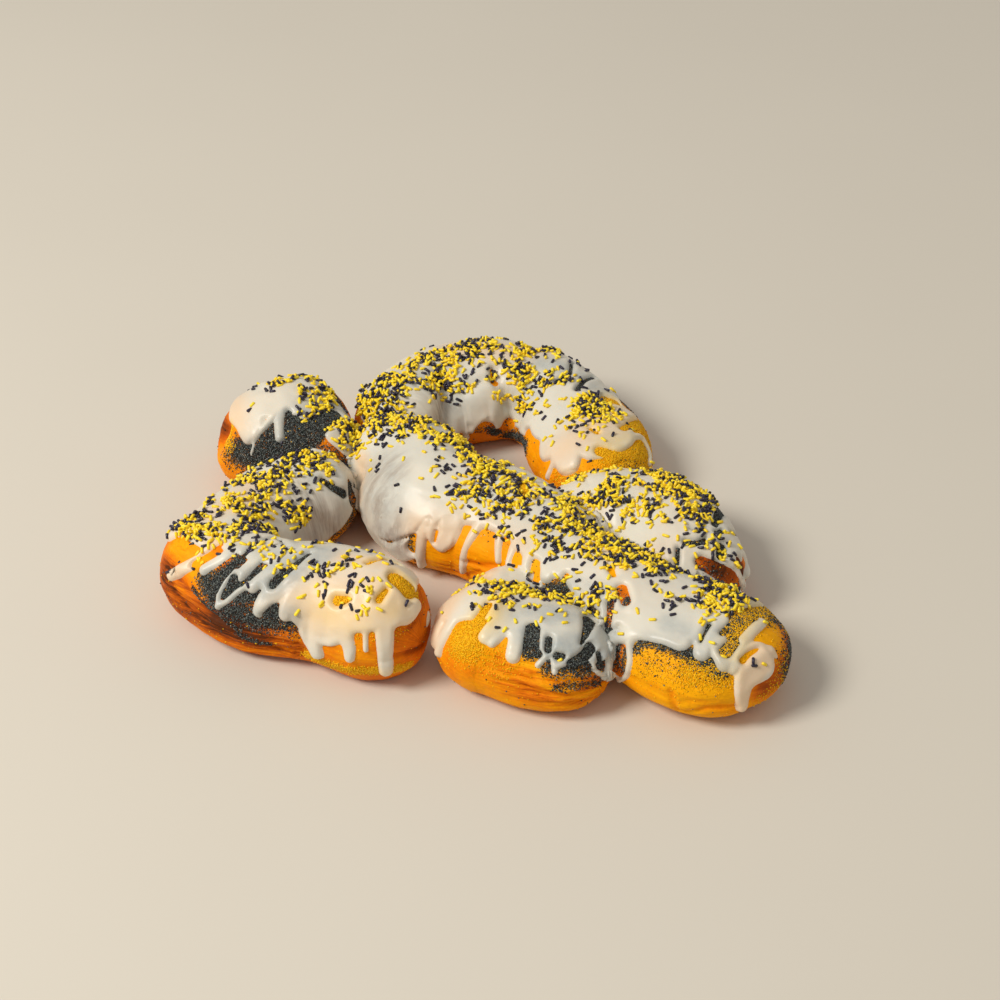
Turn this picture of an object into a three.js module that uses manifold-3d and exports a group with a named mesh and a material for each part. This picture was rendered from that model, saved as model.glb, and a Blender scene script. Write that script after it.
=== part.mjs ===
// A large festive sweet bread, shaped as a lily flower lying flat: fat rolls of dough (a bud,
// a spine, two curled petals, two feet and a stem) baked into one, under a poured sugar icing
// with drips and rod sprinkles.
// Millimetres, +Z up, +X from the bud to the stem. The origin is on the surface that the
// bread lies on, at the centre of its outline.
import * as THREE from 'three'
import { mergeVertices } from 'three/addons/utils/BufferGeometryUtils.js'
import Module from 'manifold-3d'

const wasm = await Module()
wasm.setup()

// ---- driving dimensions -------------------------------------------------------------

const FLANK = 0.4 // height of a roll's widest line, as a share of its height
const TUCK = 1.22 // how far the underside curves in before the flat foot cuts it
const CROWN = 0.8 // how slowly the height falls over a roll's round end
const BEND_REACH = 0.03 // share of a roll's length over which its bend is measured, each way
const SWELL = { height: 1.3, waves: 9, lobes: 2, twist: 5, phase: 1.9 } // low bulges of the crust
const CREASE = { halfWidth: 7, fade: 0.1 } // in degrees round the roll, and in share of its length

const ICING_THICKNESS = 3 // above the crust
const COVER = { root: 6, height: 14 } // the space it fills: from below the crust to well above
const ICING_GAP = 0.4 // clearance to the crust
const ICING_STRETCH = 0.97 // share of the way over a roll that the layer covers
const ICING_RINGS = 0.85 // rings of the space that it fills, for each ring of the roll
const ICING_FLOOR = 3.5 // the icing ends this far above the surface

// A drip starts this many degrees inside the poured layer's edge. Its girth is a share of its
// full width and thickness: the neck's, and what the foot adds.
const DRIP = { root: 24, thickness: 3.4, neck: 0.8, foot: 0.3, rings: 5, steps: 4 }

const SPRINKLE = { diameter: 2, length: 6, sunk: 0.35, sides: 5 }
const SPRINKLE_COUNT = 35
const SPRINKLE_SPREAD = 0.72 // share of the poured layer's reach each side of the crest
const SPRINKLE_STRETCH = [0.1, 0.93] // share of a roll's length that has them
const SPRINKLE_STEEPEST = 60 // degrees from the crest
const SPRINKLE_DROP = 200 // height that they fall from

const RINGS_PER_MM = 1 / 18
const END_RINGS = 5 // more of them for a roll's two round ends
const MERGE = 1e-3 // points closer than this are one
const RANDOM = { seed: 7, factor: 16807, modulus: 2147483647 }

// The section of the space that the icing fills over a roll, from its right edge over the
// crest and back under the crust: [share of the reach, share of the height].
const COVER_SECTION = [
  [-1, 0], [-1, 1], [-0.5, 1], [0, 1], [0.5, 1], [1, 1], [1, 0], [0.35, 0], [-0.35, 0]
]

// Angles round a roll, in degrees from its crest: closer together on the flanks, which
// show below the icing.
const AROUND = [0, 36, 64, 84, 102, 124, 150, 210, 236, 258, 276, 296, 324]

// ---- the rolls ----------------------------------------------------------------------
// Each roll: the points its middle line passes, as [x, y, half width, height]; how far the
// icing reaches down its left and right side, in degrees from the crest, at even steps from
// its start to its end; and its creases, as [from, to, angle, depth]. A roll that bends
// sharply is two, an arm and an end, which share the round lump of dough at the bend.

const ROLLS = {
  bud: {
    line: [
      [-121, 3, 31, 56], [-153, -9, 42, 67], [-185, -6, 51, 75], [-220, 2, 49, 69],
      [-232, 6, 44, 59]
    ],
    left: [44, 40, 42, 44, 50, 56],
    right: [50, 56, 60, 58, 50, 40],
    creases: [[0.5, 0.95, 102, 1.6]]
  },
  spine: {
    line: [
      [-139, 17, 37, 61], [-91, 16, 42, 66], [-51, -4, 47, 69], [-6, 3, 45, 68],
      [46, 0, 41, 65], [88, -9, 38, 60]
    ],
    left: [94, 92, 70, 62, 60, 84],
    right: [94, 100, 116, 68, 63, 60, 70],
    creases: [[0.5, 1, -102, 1.2]]
  },
  petalUpArm: {
    line: [
      [-122, 34, 32, 57], [-136, 63, 36, 62], [-132, 102, 39, 66], [-104, 138, 39, 67],
      [-77, 154, 36, 62], [-46, 173, 36, 62]
    ],
    left: [60, 56, 60, 60, 58, 56],
    right: [94, 108, 116, 114, 104, 90],
    creases: [[0.2, 0.9, 102, 1.5]]
  },
  petalUpEnd: {
    line: [
      [-112, 164, 36, 62], [-77, 154, 36, 62], [-47, 148, 39, 57], [-11, 127, 45, 54],
      [10, 102, 43, 52], [20, 71, 42, 50]
    ],
    left: [60, 58, 52, 46, 36, 28],
    right: [90, 96, 84, 62, 52, 38],
    creases: [[0.7, 1, 102, 1.4]]
  },
  petalDownArm: {
    line: [
      [-112, -20, 34, 58], [-133, -60, 36, 60], [-135, -112, 37, 61], [-124, -148, 40, 66],
      [-112, -186, 40, 66]
    ],
    left: [90, 104, 114, 112, 96, 70],
    right: [60, 56, 48, 40, 32, 30],
    creases: [[0.4, 1, -102, 2.4], [0.6, 1, -84, 1.8]]
  },
  petalDownEnd: {
    line: [
      [-164, -143, 40, 66], [-124, -148, 40, 66], [-82, -153, 40, 69], [-33, -134, 39, 73],
      [35, -126, 38, 74]
    ],
    left: [90, 96, 92, 72, 58, 50],
    right: [50, 35, 37, 82, 84, 74],
    creases: [[0, 0.72, -102, 2.4], [0.2, 0.5, -84, 1.8], [0.84, 1, -102, 2]]
  },
  footUp: {
    line: [
      [20, 26, 34, 46], [38, 44, 38, 52], [61, 63, 43, 60], [93, 67, 46, 60],
      [125, 46, 45, 58], [153, 16, 41, 53]
    ],
    left: [60, 60, 62, 66, 64, 58],
    right: [90, 84, 76, 68, 60, 54],
    creases: [[0.3, 1, 102, 1.4]]
  },
  footDownArm: {
    line: [
      [41, -24, 30, 42], [59, -60, 35, 48], [69, -90, 41, 58], [82, -129, 41, 58]
    ],
    left: [60, 64, 66, 60, 50, 40],
    right: [60, 66, 70, 60, 30],
    creases: [[0.5, 1, -102, 2.2]]
  },
  footDownEnd: {
    line: [
      [29, -99, 41, 58], [69, -90, 41, 58], [105, -82, 40, 57], [143, -61, 35, 53]
    ],
    left: [50, 54, 56, 56, 56, 58],
    right: [60, 40, 32, 38, 44, 54],
    creases: [[0.1, 1, -102, 2.2], [0.45, 0.95, -84, 1.4]]
  },
  stem: {
    line: [
      [20, 1, 36, 60], [52, -8, 38, 62], [100, -17, 42, 63], [149, -19, 47, 62],
      [188, -16, 51, 61], [231, 2, 45, 58]
    ],
    left: [60, 84, 90, 84, 60, 42, 34],
    right: [60, 74, 70, 66, 58, 37, 34],
    creases: [[0.5, 1, -90, 1.8]]
  }
}

// Drips that run down from the edge of the poured layer, as
// [share of the roll's length, angle where it ends (negative on the right), width].
const DRIPS = {
  bud: [[0.3, 60, 8], [0.45, 64, 8], [0.66, 74, 8]],
  spine: [[0.4, -110, 9], [0.55, -106, 8], [0.63, -106, 9], [0.72, -90, 8]],
  petalUpArm: [[0.4, 88, 9]],
  petalUpEnd: [[0.45, 80, 8], [0.82, 60, 8], [0.93, -74, 13]],
  petalDownArm: [[0.55, -78, 9]],
  petalDownEnd: [
    [0.31, -52, 8], [0.47, -68, 8], [0.55, -72, 8], [0.69, -104, 9], [0.93, -108, 8], [0.8, 74, 9]
  ],
  footUp: [[0.5, 88, 9], [0.68, 94, 8], [0.88, 82, 9]],
  footDownArm: [[0.7, -84, 8]],
  footDownEnd: [[0.42, -52, 9], [0.58, -56, 8], [0.75, -62, 8], [0.92, -74, 8]],
  stem: [[0.68, -88, 8], [0.88, -58, 8], [0.93, -98, 11], [0.8, 74, 8]]
}

// ---- swept shapes -------------------------------------------------------------------

const radians = THREE.MathUtils.degToRad

/** Reads a list of values at even steps, at share f of the way through it. */
function along(values, f) {
  const place = THREE.MathUtils.clamp(f, 0, 1) * (values.length - 1)
  const index = Math.min(Math.floor(place), values.length - 2)
  return THREE.MathUtils.lerp(values[index], values[index + 1], place - index)
}

/** A roll's middle line, with its place, side direction, half width and height anywhere on it. */
class Roll {
  constructor({ line, creases }, index) {
    this.path = new THREE.CatmullRomCurve3(line.map(([x, y]) => new THREE.Vector3(x, y, 0)))
    const sizes = line.map(([, , width, height]) => new THREE.Vector3(width, height, 0))
    this.sizes = new THREE.CatmullRomCurve3(sizes)
    this.length = this.path.getLength()
    this.ends = [line[0][2], line[line.length - 1][2]]
    this.creases = creases
    this.index = index
  }

  /** The direction of the middle line at share f of the length. */
  heading(f) {
    return this.path.getTangent(this.path.getUtoTmapping(THREE.MathUtils.clamp(f, 0, 1)))
  }

  /** The frame at share f of the length, with how fast the line turns left there, per millimetre. */
  at(f) {
    const t = this.path.getUtoTmapping(THREE.MathUtils.clamp(f, 0, 1))
    const { x, y } = this.path.getPoint(t)
    const ahead = this.heading(f)
    const size = this.sizes.getPoint(t)
    const turning = this.heading(f - BEND_REACH).cross(this.heading(f + BEND_REACH)).z
    return {
      x, y, side: [-ahead.y, ahead.x], heading: [ahead.x, ahead.y], width: size.x, height: size.y,
      bend: turning / (2 * BEND_REACH * this.length)
    }
  }

  /** At share a of the way over both round ends: the share of the length, and of the section left. */
  profile(a) {
    const [first, last] = this.ends
    const total = this.length + (Math.PI / 2 - 1) * (first + last)
    const reach = a * total
    if (reach < (first * Math.PI) / 2) {
      const turn = reach / first
      return [(first * (1 - Math.cos(turn))) / this.length, Math.sin(turn)]
    }
    if (total - reach < (last * Math.PI) / 2) {
      const turn = (total - reach) / last
      return [1 - (last * (1 - Math.cos(turn))) / this.length, Math.sin(turn)]
    }
    return [(reach - first * (Math.PI / 2 - 1)) / this.length, 1]
  }

  /** The share of the section left at share f: all of it, but for the round ends. */
  shrink(f) {
    const [first, last] = this.ends
    const fromTip = Math.min((f * this.length) / first, ((1 - f) * this.length) / last, 1)
    return Math.sqrt(1 - (1 - fromTip) ** 2)
  }

  /** Low swells and creases of the crust, as a change of its radius. */
  relief(f, angle) {
    const { height, waves, lobes, twist, phase } = SWELL
    const round = Math.cos(radians(lobes * angle) + twist * f + this.index)
    const swell = height * Math.sin(waves * f + phase * this.index) * round
    const turn = ((angle + 180) % 360) - 180
    const grooves = this.creases.map(([from, to, middle, depth]) => {
      const begun = THREE.MathUtils.smoothstep(f, from, from + CREASE.fade)
      const left = 1 - THREE.MathUtils.smoothstep(f, to - CREASE.fade, to)
      return depth * begun * left * Math.exp(-(((turn - middle) / CREASE.halfWidth) ** 2))
    })
    return swell - Math.max(0, ...grooves)
  }

  /** A point at share f and an angle from the crest, grown outwards, on a section shrunk at the ends. */
  point(f, angle, grow, shrink, floor) {
    const { x, y, side, heading, width, height, bend } = this.at(f)
    const middle = height * FLANK
    const beyond = Math.sign(f - 0.5) * grow * (1 - shrink)
    const out = (grow + this.relief(f, angle)) * shrink
    const free = Math.sin(radians(angle)) * width * shrink
    const crowding = Math.max(0, free * bend)
    const across = free / (1 + crowding ** 4) ** 0.25 + Math.sin(radians(angle)) * out
    const up = Math.cos(radians(angle))
    const above = (height - middle + out) * up * shrink ** CROWN
    const below = (middle * TUCK * shrink + out) * up
    return new THREE.Vector3(
      x + side[0] * across + heading[0] * beyond,
      y + side[1] * across + heading[1] * beyond,
      Math.max(floor, middle + (up > 0 ? above : below))
    )
  }

  /** Rings for an even mesh. */
  get rings() {
    return Math.round(this.length * RINGS_PER_MM) + END_RINGS
  }
}

/** A merged, closed geometry as a manifold solid. */
function solidOf(geometry) {
  geometry.deleteAttribute('normal')
  geometry.deleteAttribute('uv')
  const merged = mergeVertices(geometry, MERGE)
  const mesh = new wasm.Mesh({
    numProp: 3,
    vertProperties: new Float32Array(merged.attributes.position.array),
    triVerts: new Uint32Array(merged.index.array)
  })
  mesh.merge()
  return new wasm.Manifold(mesh)
}

/** A sphere's grid with each vertex moved to place(share of the way from pole to pole, step round). */
function sphereOnto(rings, steps, place) {
  const geometry = new THREE.SphereGeometry(1, steps, rings)
  const { position } = geometry.attributes
  for (let i = 0; i < position.count; i++) {
    const share = Math.acos(THREE.MathUtils.clamp(position.getY(i), -1, 1)) / Math.PI
    const turn = Math.atan2(-position.getZ(i), position.getX(i)) / (2 * Math.PI)
    const step = (Math.round(turn * steps) + steps) % steps
    const { x, y, z } = place(Math.round(share * rings) / rings, step)
    position.setXYZ(i, x, y, z)
  }
  return solidOf(geometry)
}

/** A half circle's height over its width: nothing at share 0 and 1, full in the middle. */
const roundOff = (share) => Math.sqrt(4 * share * (1 - share))

/** One roll of dough. */
function doughRoll(roll, grow = 0) {
  return sphereOnto(roll.rings, AROUND.length, (share, step) => {
    const [f, shrink] = roll.profile(share)
    return roll.point(f, AROUND[step], grow, shrink, 0)
  })
}

/** The space over one roll that icing fills, from its left edge to its right edge. */
function coverOver(roll, { left, right }) {
  const rings = Math.round(roll.rings * ICING_RINGS)
  return sphereOnto(rings, COVER_SECTION.length, (share, step) => {
    const [f, shrink] = roll.profile(share * ICING_STRETCH)
    const [cross, lift] = COVER_SECTION[step]
    const end = share > 0.5 ? Math.sqrt(roundOff(share)) : Math.min(1, share * rings)
    const middle = (along(left, f) - along(right, f)) / 2
    const reach = (along(left, f) + along(right, f)) / 2
    const grow = THREE.MathUtils.lerp(-COVER.root, COVER.height, lift * end)
    return roll.point(f, middle + reach * cross * end, grow, shrink, ICING_FLOOR)
  })
}

/** A drip from under the poured layer's edge down a roll's side, fatter at its round foot. */
function drip(roll, shape, [f, end, width]) {
  const { root, thickness, neck, foot, rings, steps } = DRIP
  const side = Math.sign(end)
  const edge = side * along(side > 0 ? shape.left : shape.right, f)
  const start = edge - side * root
  return sphereOnto(rings, steps, (share, step) => {
    const turn = (2 * Math.PI * step) / steps
    const girth = roundOff(share) * (neck + foot * share)
    const sideways = (side * Math.cos(turn) * girth * width) / 2
    const outwards = Math.sin(turn) * girth * thickness
    const place = f + sideways / roll.length
    const angle = THREE.MathUtils.lerp(start, end, share)
    return roll.point(place, angle, outwards, roll.shrink(f), ICING_FLOOR)
  })
}

/** Seeded pseudo-random numbers from 0 to 1. */
function randomFrom(seed) {
  let state = seed
  return () => {
    state = (state * RANDOM.factor) % RANDOM.modulus
    return state / RANDOM.modulus
  }
}

/** A rod sprinkle lying at a point of the icing, turned by yaw about the icing's normal there. */
function sprinkle(point, over, yaw) {
  const { diameter, length, sunk, sides } = SPRINKLE
  const geometry = new THREE.CapsuleGeometry(diameter / 2, length - diameter, 1, sides)
  const ahead = new THREE.Vector3(1, 0, 0).cross(over).applyAxisAngle(over, yaw).normalize()
  const turn = new THREE.Quaternion().setFromUnitVectors(new THREE.Vector3(0, 1, 0), ahead)
  const centre = point.clone().addScaledVector(over, diameter * (0.5 - sunk))
  geometry.applyMatrix4(new THREE.Matrix4().compose(centre, turn, new THREE.Vector3(1, 1, 1)))
  return solidOf(geometry)
}

/** Sprinkles spread evenly along each roll, dropped from above onto the poured icing. */
function sprinklesOn(surface, rolls, random) {
  const totalLength = rolls.reduce((sum, { roll }) => sum + roll.length, 0)
  const caster = new THREE.Raycaster()
  const down = new THREE.Vector3(0, 0, -1)
  return rolls.flatMap(({ roll, shape }) => {
    const count = Math.round((SPRINKLE_COUNT * roll.length) / totalLength)
    return Array.from({ length: count }).flatMap((_, i) => {
      const f = THREE.MathUtils.lerp(...SPRINKLE_STRETCH, (i + 0.5) / count)
      const across = random() * SPRINKLE_SPREAD
      const angle = i % 2 ? across * along(shape.left, f) : -across * along(shape.right, f)
      const slope = THREE.MathUtils.clamp(angle, -SPRINKLE_STEEPEST, SPRINKLE_STEEPEST)
      caster.set(roll.point(f, slope, 0, roll.shrink(f), 0).setZ(SPRINKLE_DROP), down)
      const [hit] = caster.intersectObject(surface)
      const yaw = random() * Math.PI
      return hit ? [sprinkle(hit.point, hit.face.normal, yaw)] : []
    })
  })
}

// ---- the whole ----------------------------------------------------------------------

/** The largest connected piece of a solid, without loose scraps. */
function mainPiece(solid) {
  const pieces = solid.decompose()
  return pieces.reduce((best, piece) => (piece.volume() > best.volume() ? piece : best))
}

/** A manifold solid as a named mesh. */
function meshOf(solid, name, material) {
  const { vertProperties, triVerts } = solid.getMesh()
  const geometry = new THREE.BufferGeometry()
  geometry.setAttribute('position', new THREE.BufferAttribute(vertProperties, 3))
  geometry.setIndex(new THREE.BufferAttribute(triVerts, 1))
  geometry.computeVertexNormals()
  const mesh = new THREE.Mesh(geometry, material)
  mesh.name = name
  return mesh
}

const CRUST = new THREE.MeshStandardMaterial({ color: 0xc47a26, roughness: 0.5, metalness: 0 })
const GLAZE = new THREE.MeshStandardMaterial({ color: 0xe9e2d8, roughness: 0.25, metalness: 0 })

const rolls = Object.entries(ROLLS).map(([name, shape], index) => {
  return { name, shape, roll: new Roll(shape, index) }
})
const fused = (solids) => wasm.Manifold.union(solids)

const bread = mainPiece(fused(rolls.map(({ roll }) => doughRoll(roll))))
const clearance = fused([bread, ...rolls.map(({ roll }) => doughRoll(roll, ICING_GAP))])

const raised = fused(rolls.map(({ roll }) => doughRoll(roll, ICING_THICKNESS)))
const cover = fused(rolls.map(({ roll, shape }) => coverOver(roll, shape)))
const drips = rolls.flatMap(({ name, roll, shape }) => DRIPS[name].map((place) => drip(roll, shape, place)))
const poured = fused([raised.intersect(cover), ...drips])
const sprinkles = sprinklesOn(meshOf(poured, 'poured', GLAZE), rolls, randomFrom(RANDOM.seed))
const icing = mainPiece(fused([poured, ...sprinkles]).subtract(clearance))

const cake = new THREE.Group()
cake.add(meshOf(bread, 'bread', CRUST), meshOf(icing, 'icing', GLAZE))

export default cake
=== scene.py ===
"""The looks of a large festive sweet bread shaped as a lily flower.

Fat rolls of dough baked into one, dark and yellow sugar, a poured white icing with drips, and rod
sprinkles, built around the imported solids. Lengths are in millimetres until a mesh is written.
"""

import logging
import math
from collections.abc import Sequence
from dataclasses import dataclass, field, replace
from enum import Enum
from typing import ClassVar

import bpy
import numpy as np
from mathutils import Matrix, Vector
from mathutils.bvhtree import BVHTree


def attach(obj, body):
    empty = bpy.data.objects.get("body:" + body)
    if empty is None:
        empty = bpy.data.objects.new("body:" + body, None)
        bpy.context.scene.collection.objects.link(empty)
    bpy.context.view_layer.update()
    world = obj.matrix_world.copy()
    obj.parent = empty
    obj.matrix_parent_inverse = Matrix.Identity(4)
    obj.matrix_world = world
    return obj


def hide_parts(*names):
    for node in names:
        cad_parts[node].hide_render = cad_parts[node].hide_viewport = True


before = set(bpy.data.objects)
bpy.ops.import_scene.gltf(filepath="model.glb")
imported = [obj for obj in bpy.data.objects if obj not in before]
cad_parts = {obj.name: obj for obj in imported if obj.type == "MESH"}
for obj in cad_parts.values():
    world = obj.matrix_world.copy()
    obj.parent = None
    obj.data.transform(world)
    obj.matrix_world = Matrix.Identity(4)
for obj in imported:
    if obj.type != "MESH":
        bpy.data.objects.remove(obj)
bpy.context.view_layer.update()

MM = 0.001
LOG = logging.getLogger("sweet_bread")
Array = np.ndarray
Spot = tuple[float, float]  # a place in the camera's frame, or on a roll
Pair = tuple[float, float]
Triple = tuple[float, float, float]
Colour = tuple[int, int, int]  # as a display shows it
Piece = bpy.types.Object
Socket = bpy.types.NodeSocket

# ---- the rolls' shape, in the part's own frame ----

FLANK = 0.4  # height of a roll's widest line, as a share of its height
TUCK = 1.22  # how far the underside curves in before the flat foot cuts it
CROWN = 0.8  # how slowly the height falls over a roll's round end
BEND_REACH = 0.03  # share of a roll's length over which its bend is measured, each way
CREASE_HALF_WIDTH = 7  # degrees round the roll
CREASE_FADE = 0.1  # share of the roll's length


@dataclass(frozen=True)
class RollShape:
    """One roll of dough.

    line holds the points of its middle line, as (x, y, half width, height). left and right say
    how far icing reaches down each side, in degrees from the crest, at even steps; tips say the
    same for its two round ends. creases are (from, to, degrees, depth). bake is how dark its
    crust is at its start and its end, from 0 to 1. drips run down from the icing's edge where
    the strokes below have none: (share of the length, degrees where it ends, width).
    """

    line: Sequence[tuple[float, float, float, float]]
    left: Sequence[float]
    right: Sequence[float]
    creases: Sequence[tuple[float, float, float, float]]
    tips: Pair = (60, 60)
    bake: Pair = (0.4, 0.4)
    drips: Sequence[Triple] = ()


ROLLS = {
    "bud": RollShape(
        line=((-121, 3, 31, 56), (-153, -9, 42, 67), (-185, -6, 51, 75), (-220, 2, 49, 69),
              (-232, 6, 44, 59)),
        left=(30, 6, 16, 50, 54, 52), right=(50, 46, 44, 44, 44, 40), tips=(60, 52),
        creases=((0.5, 0.95, 102, 1.6),), bake=(0.4, 0.46),
        drips=((0.3, 60, 8), (0.45, 64, 8))),
    "spine": RollShape(
        line=((-139, 17, 37, 61), (-91, 16, 42, 66), (-51, -4, 47, 69), (-6, 3, 45, 68),
              (46, 0, 41, 65), (88, -9, 38, 60)),
        left=(94, 92, 70, 62, 60, 84), right=(94, 98, 108, 100, 54, 50, 44, 48, 60),
        creases=((0.5, 1, -102, 1.2),), bake=(0.2, 0.16)),
    "petal_up_arm": RollShape(
        line=((-122, 34, 32, 57), (-136, 63, 36, 62), (-132, 102, 39, 66), (-104, 138, 39, 67),
              (-77, 154, 36, 62), (-46, 173, 36, 62)),
        left=(60, 56, 60, 60, 58, 56), right=(94, 108, 112, 94, 82, 90),
        creases=((0.2, 0.9, 102, 1.5),), bake=(0.3, 0.4), drips=((0.25, 78, 8), (0.4, 88, 9))),
    "petal_up_end": RollShape(
        line=((-112, 164, 36, 62), (-77, 154, 36, 62), (-47, 148, 39, 57), (-11, 127, 45, 54),
              (10, 102, 43, 52), (20, 71, 42, 50)),
        left=(60, 58, 52, 46, 36, 28), right=(90, 96, 84, 62, 52, 38), tips=(60, 34),
        creases=((0.7, 1, 102, 1.4),), bake=(0.3, 0.08), drips=((0.3, 84, 8), (0.45, 80, 8))),
    "petal_down_arm": RollShape(
        line=((-112, -20, 34, 58), (-133, -60, 36, 60), (-135, -112, 37, 61),
              (-124, -148, 40, 66), (-112, -186, 40, 66)),
        left=(90, 104, 114, 112, 60, 26), right=(60, 56, 48, 40, 30, 26), tips=(60, 26),
        creases=((0.4, 1, -102, 2.4), (0.6, 1, -84, 1.8)), bake=(0.2, 0.42),
        drips=((0.28, -84, 8), (0.42, -70, 7))),
    "petal_down_end": RollShape(
        line=((-164, -143, 40, 66), (-124, -148, 40, 66), (-82, -153, 40, 69),
              (-33, -134, 39, 73), (35, -126, 38, 74)),
        left=(90, 96, 92, 72, 58, 50), right=(18, 14, 14, 20, 62, 58), tips=(30, 44),
        creases=((0, 0.72, -102, 2.4), (0.2, 0.5, -84, 1.8), (0.84, 1, -102, 2)),
        bake=(0.5, 0.4), drips=((0.8, 74, 9),)),
    "foot_up": RollShape(
        line=((20, 26, 34, 46), (38, 44, 38, 52), (61, 63, 43, 60), (93, 67, 46, 60),
              (125, 46, 45, 58), (153, 16, 41, 53)),
        left=(60, 60, 62, 66, 64, 58), right=(90, 84, 76, 68, 60, 54), tips=(60, 56),
        creases=((0.3, 1, 102, 1.4),), bake=(0.2, 0.5),
        drips=((0.36, 82, 8), (0.5, 88, 9), (0.6, 80, 7), (0.68, 94, 8))),
    "foot_down_arm": RollShape(
        line=((41, -24, 30, 42), (59, -60, 35, 48), (69, -90, 41, 58), (82, -129, 41, 58)),
        left=(60, 64, 66, 60, 50, 40), right=(60, 66, 70, 60, 30), tips=(60, 26),
        creases=((0.5, 1, -102, 2.2),), bake=(0.12, 0.14)),
    "foot_down_end": RollShape(
        line=((29, -99, 41, 58), (69, -90, 41, 58), (105, -82, 40, 57), (143, -61, 35, 53)),
        left=(50, 54, 56, 56, 56, 58), right=(30, 22, 26, 34, 40, 50), tips=(40, 60),
        creases=((0.1, 1, -102, 2.2), (0.45, 0.95, -84, 1.4)), bake=(0.04, 0.26)),
    "stem": RollShape(
        line=((20, 1, 36, 60), (52, -8, 38, 62), (100, -17, 42, 63), (149, -19, 47, 62),
              (188, -16, 51, 61), (231, 2, 45, 58)),
        left=(60, 84, 90, 84, 60, 42, 30), right=(60, 42, 38, 44, 54, 50, 36, 18, 14),
        tips=(60, 12),
        creases=((0.5, 1, -90, 1.8),), bake=(0.1, 0.02),
        drips=((0.52, 96, 8), (0.66, 82, 9), (0.8, 74, 8))),
}

# ---- strokes, placed in the camera's frame ----


@dataclass(frozen=True)
class Stroke:
    """A line painted on the surface, round at both ends.

    spots are places in the camera's frame, in pixels, or, where a roll is named, (share of its
    length, degrees) on that roll. widths are in millimetres, at the first and the last spot.
    amount is its strength, and soft how far its edge fades out.
    """

    spots: Sequence[Spot]
    widths: Pair
    amount: float = 1.0
    soft: float = 4.0
    roll: str = ""


def stroke_rows(*rows: tuple) -> tuple[Stroke, ...]:
    """Makes a stroke of each row.

    Args:
        rows: the fields in their order, with all numbers of the spots in one line, and one
            width where both are the same.

    Returns:
        The strokes.
    """
    strokes = []
    for line, width, *rest in rows:
        widths = width if isinstance(width, tuple) else (width, width)
        strokes.append(Stroke(tuple(zip(line[::2], line[1::2])), widths, *rest))
    return tuple(strokes)


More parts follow.
